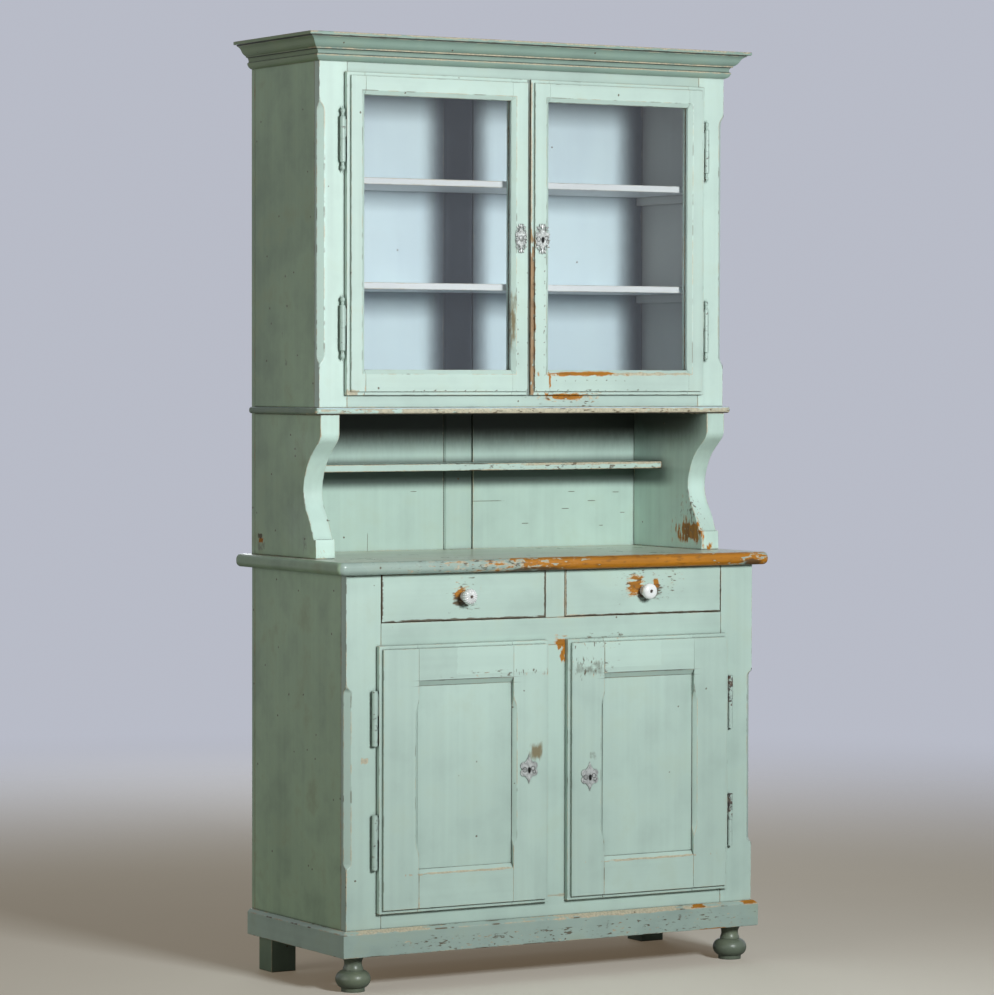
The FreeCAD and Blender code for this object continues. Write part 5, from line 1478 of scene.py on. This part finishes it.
# Ornament of the keyhole plates on the right half, in shares of half width and half height:
# scrolls (x, z, radius, start, sweep) and leaves (x, z, radius, stretch, tilt)
LOWER_SCROLLS = (
    (0.52, 0.08, 0.13, -60, 290),
    (0.50, -0.11, 0.11, 60, -290),
)
LOWER_LEAVES = (
    (0.0, 0.62, 0.07, 3.6, 0),
    (0.0, -0.60, 0.09, 4.6, 0),
)
UPPER_SCROLLS = (
    (0.66, 0.46, 0.26, -70, 290),
    (0.70, 0.10, 0.24, -100, 260),
    (0.66, -0.30, 0.26, 100, -280),
    (0.52, -0.64, 0.22, 70, -280),
    (0.30, 0.70, 0.22, -60, 260),
    (0.30, 0.26, 0.17, -90, 200),
)
UPPER_LEAVES = (
    (0.0, 0.82, 0.17, 2.3, 0),
    (0.30, 0.88, 0.13, 2.0, -28),
    (0.66, 0.74, 0.13, 1.9, -52),
    (0.92, 0.30, 0.10, 1.8, -90),
    (0.94, -0.10, 0.10, 1.8, -96),
    (0.82, -0.54, 0.12, 1.9, -124),
    (0.34, -0.88, 0.13, 2.0, -156),
    (0.0, -0.84, 0.18, 2.3, 0),
    (0.16, 0.50, 0.10, 2.2, -18),
    (0.20, -0.44, 0.12, 2.4, 18),
)


# A plate's metal, its raised field in shares of the outline, and heights in shares of its relief
PLATE_THICKNESS = 2 * MM
PLATE_TOLERANCE = 0.1 * MM
PLATE_FIELD_SHARES = (0.84, 1.0, 0.88)
PLATE_FIELD_RISE = 0.4
SCROLL_THICKNESS = 0.62
# Share of the keyhole's painted shade on the plate that has no keyhole
BLIND_KEYHOLE_SHADE = 0.3


def pressed_plate(node, scrolls, leaves):
    """Keyhole plate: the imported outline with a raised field, and pressed scrolls and leaves on it."""
    relief = sizes().plate_relief
    bm = boards_of(node, sizes().iron_edge)
    lowest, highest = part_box(node)
    half_x, _, half_z = (highest - lowest) / 2
    middle = middle_of(node)
    middle.y = highest.y - PLATE_THICKNESS
    front = [
        face for face in bm.faces
        if face.normal.y < -0.99 and face.calc_center_median().y < middle.y + PLATE_TOLERANCE
    ]
    sheet = once(item for face in front for item in (face, *face.edges, *face.verts))
    copy = bmesh.ops.duplicate(bm, geom=sheet)["geom"]
    made = bmesh.ops.extrude_face_region(bm, geom=of_kind(copy, bmesh.types.BMFace))["geom"]
    field, around = (of_kind(items, bmesh.types.BMVert) for items in (made, copy))
    bmesh.ops.scale(bm, vec=PLATE_FIELD_SHARES, space=Matrix.Translation(-middle), verts=field + around)
    bmesh.ops.translate(bm, vec=(0, -relief * PLATE_FIELD_RISE, 0), verts=field)
    for side in (-1, 1):
        for x, z, radius, start, sweep in scrolls:
            centre = middle + Vector((side * x * half_x, 0, z * half_z))
            if side < 0:
                start, sweep = 180 - start, -sweep
            bead_arc(bm, centre, radius * half_x, start, sweep, relief * SCROLL_THICKNESS)
        for x, z, radius, stretch, tilt in leaves:
            if x or side > 0:
                spot = middle + Vector((side * x * half_x, 0, z * half_z))
                dome(bm, spot, radius * half_x, relief, stretch, side * tilt)
    bmesh.ops.recalc_face_normals(bm, faces=bm.faces)
    return bm


class BUFFET_OT_key_plates(bpy.types.Operator):
    """Makes the pressed keyhole plates."""

    bl_idname = "buffet.key_plates"
    bl_label = "Keyhole plates"

    def execute(self, context):
        for level, scrolls, leaves in (
                ("lower", LOWER_SCROLLS, LOWER_LEAVES), ("upper", UPPER_SCROLLS, UPPER_LEAVES)):
            for side in ("left", "right"):
                node = f"{level}_{side}_key_plate"
                keyed = BLIND_KEYHOLE_SHADE if node == "upper_left_key_plate" else 1.0
                metal = pressed_silver(f"{node}_silver", node, keyed)
                bm = pressed_plate(node, scrolls, leaves)
                finish_piece(
                    bm, f"{node}_pressed", NODES[node]["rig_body"], [metal], replaces=(node,))
        return {"FINISHED"}


def aim(stage):
    """Camera matrix at the photograph's view."""
    yaw, pitch, roll = stage.camera_yaw, stage.camera_pitch, stage.camera_roll
    forward = Vector((math.sin(yaw) * math.cos(pitch), math.cos(yaw) * math.cos(pitch), math.sin(pitch)))
    level = Vector((math.cos(yaw), -math.sin(yaw), 0))
    up = level.cross(forward)
    right = level * math.cos(roll) + up * math.sin(roll)
    up = up * math.cos(roll) - level * math.sin(roll)
    turn = Matrix((right, up, -forward)).transposed()
    return Matrix.Translation(stage.camera_place) @ turn.to_4x4()


FLOOR_SEGMENTS = 96
FLOOR_FADE_END = 0.95


class BUFFET_OT_stage(bpy.types.Operator):
    """Sets up the camera, the three lamps, the pale ground and the floor."""

    bl_idname = "buffet.stage"
    bl_label = "Stage"

    def execute(self, context):
        scene = context.scene
        stage = scene.buffet_stage
        scene.view_settings.view_transform = "Standard"
        self.add_camera(scene, stage)
        self.add_lamp(
            scene, "soft_lamp", stage.lamp_place, stage.lamp_aim, stage.lamp_size, stage.lamp_power,
            stage.lamp_colour, stage.lamp_spread)
        self.add_lamp(
            scene, "fill_lamp", stage.fill_place, stage.fill_aim, stage.fill_size, stage.fill_power,
            stage.fill_colour, math.pi)
        self.add_lamp(
            scene, "back_lamp", stage.back_place, stage.back_aim, stage.fill_size, stage.back_power,
            stage.lamp_colour, math.pi)
        self.add_world(scene, stage)
        self.add_floor(scene, stage)
        return {"FINISHED"}

    def add_camera(self, scene, stage):
        data = bpy.data.cameras.new("camera")
        data.lens = stage.focal_pixels / stage.picture_height * data.sensor_width
        camera = bpy.data.objects.new("camera", data)
        camera.matrix_world = aim(stage)
        scene.collection.objects.link(camera)
        scene.camera = camera

    def add_lamp(self, scene, name, location, target, size, power, tone, spread):
        data = bpy.data.lights.new(name, "AREA")
        data.size = size
        data.energy = power
        data.color = tone
        data.spread = spread
        lamp = bpy.data.objects.new(name, data)
        lamp.location = location
        lamp.rotation_euler = (target - location).to_track_quat("-Z", "Y").to_euler()
        scene.collection.objects.link(lamp)

    def add_world(self, scene, stage):
        world = bpy.data.worlds.new("pale_ground")
        world.use_nodes = True
        scene.world = world
        shader = Shader(world.node_tree)
        ray = shader.node("ShaderNodeLightPath", output="Is Camera Ray")
        seen = ray.most(ray.output("Is Glossy Ray")).most(ray.output("Is Transmission Ray"))
        tone = shader.blend(seen, stage.ambient, stage.backdrop)
        light = shader.node("ShaderNodeBackground", None, {"Color": tone, "Strength": 1.0})
        shader.node("ShaderNodeOutputWorld", None, {"Surface": light})

    def add_floor(self, scene, stage):
        bm = bmesh.new()
        bmesh.ops.create_circle(bm, cap_ends=True, segments=FLOOR_SEGMENTS, radius=stage.floor_radius)
        mesh = bpy.data.meshes.new("floor")
        bm.to_mesh(mesh)
        bm.free()
        material, shader = new_material("pale_floor")
        where = shader.where()
        distance = shader.vector("LENGTH", where, output="Value")
        far = distance.between(stage.floor_fade, stage.floor_radius * FLOOR_FADE_END)
        cloud = shader.noise(where, 1.5, 3.0)
        tone = shader.blend(cloud, shade(stage.floor_colour, 0.97), shade(stage.floor_colour, 1.03))
        seen = shader.node("ShaderNodeLightPath", output="Is Camera Ray")
        tone = shader.blend(seen, shade(stage.floor_colour, stage.floor_bounce), tone)
        matt = shader.node("ShaderNodeBsdfDiffuse", None, {"Color": tone})
        glow = shader.node("ShaderNodeEmission", None, {
            "Color": shader.blend(seen, (0.0, 0.0, 0.0), stage.floor_glow), "Strength": 1.0})
        ground = shader.node("ShaderNodeAddShader", None, {0: matt, 1: glow})
        clear = shader.node("ShaderNodeBsdfTransparent")
        surface = shader.node("ShaderNodeMixShader", None, {0: far, 1: ground, 2: clear})
        shader.node("ShaderNodeOutputMaterial", None, {"Surface": surface})
        mesh.materials.append(material)
        floor = bpy.data.objects.new("floor", mesh)
        scene.collection.objects.link(floor)


SETTINGS = {"buffet_colours": BuffetColours, "buffet_sizes": BuffetSizes, "buffet_stage": BuffetStage}
OPERATORS = (
    BUFFET_OT_base_case,
    BUFFET_OT_base_inside,
    BUFFET_OT_plinth_and_feet,
    BUFFET_OT_worktop,
    BUFFET_OT_drawers,
    BUFFET_OT_knobs,
    BUFFET_OT_lower_doors,
    BUFFET_OT_upper_doors,
    BUFFET_OT_niche,
    BUFFET_OT_backs,
    BUFFET_OT_upper_case,
    BUFFET_OT_cornice,
    BUFFET_OT_hinges,
    BUFFET_OT_locks,
    BUFFET_OT_key_plates,
    BUFFET_OT_stage,
)


class BUFFET_PT_panel(bpy.types.Panel):
    """Lists the buffet's settings and steps."""

    bl_idname = "BUFFET_PT_panel"
    bl_label = "Buffet"
    bl_space_type = "VIEW_3D"
    bl_region_type = "UI"
    bl_category = "Buffet"

    def draw(self, context):
        for group, kind in SETTINGS.items():
            box = self.layout.box()
            for name in kind.__annotations__:
                box.prop(getattr(context.scene, group), name)
        for operator in OPERATORS:
            self.layout.operator(operator.bl_idname)


CLASSES = (*SETTINGS.values(), *OPERATORS, BUFFET_PT_panel)


def register():
    """Registers the classes and puts their settings on the scene."""
    for kind in CLASSES:
        bpy.utils.register_class(kind)
    for group, kind in SETTINGS.items():
        setattr(bpy.types.Scene, group, bpy.props.PointerProperty(type=kind))


def unregister():
    """Takes the settings and the classes away again."""
    for group in SETTINGS:
        delattr(bpy.types.Scene, group)
    for kind in reversed(CLASSES):
        bpy.utils.unregister_class(kind)


def main():
    """Dresses the buffet piece by piece."""
    register()
    for operator in OPERATORS:
        group, step = operator.bl_idname.split(".")
        getattr(getattr(bpy.ops, group), step)()


if __name__ == "__main__":
    main()
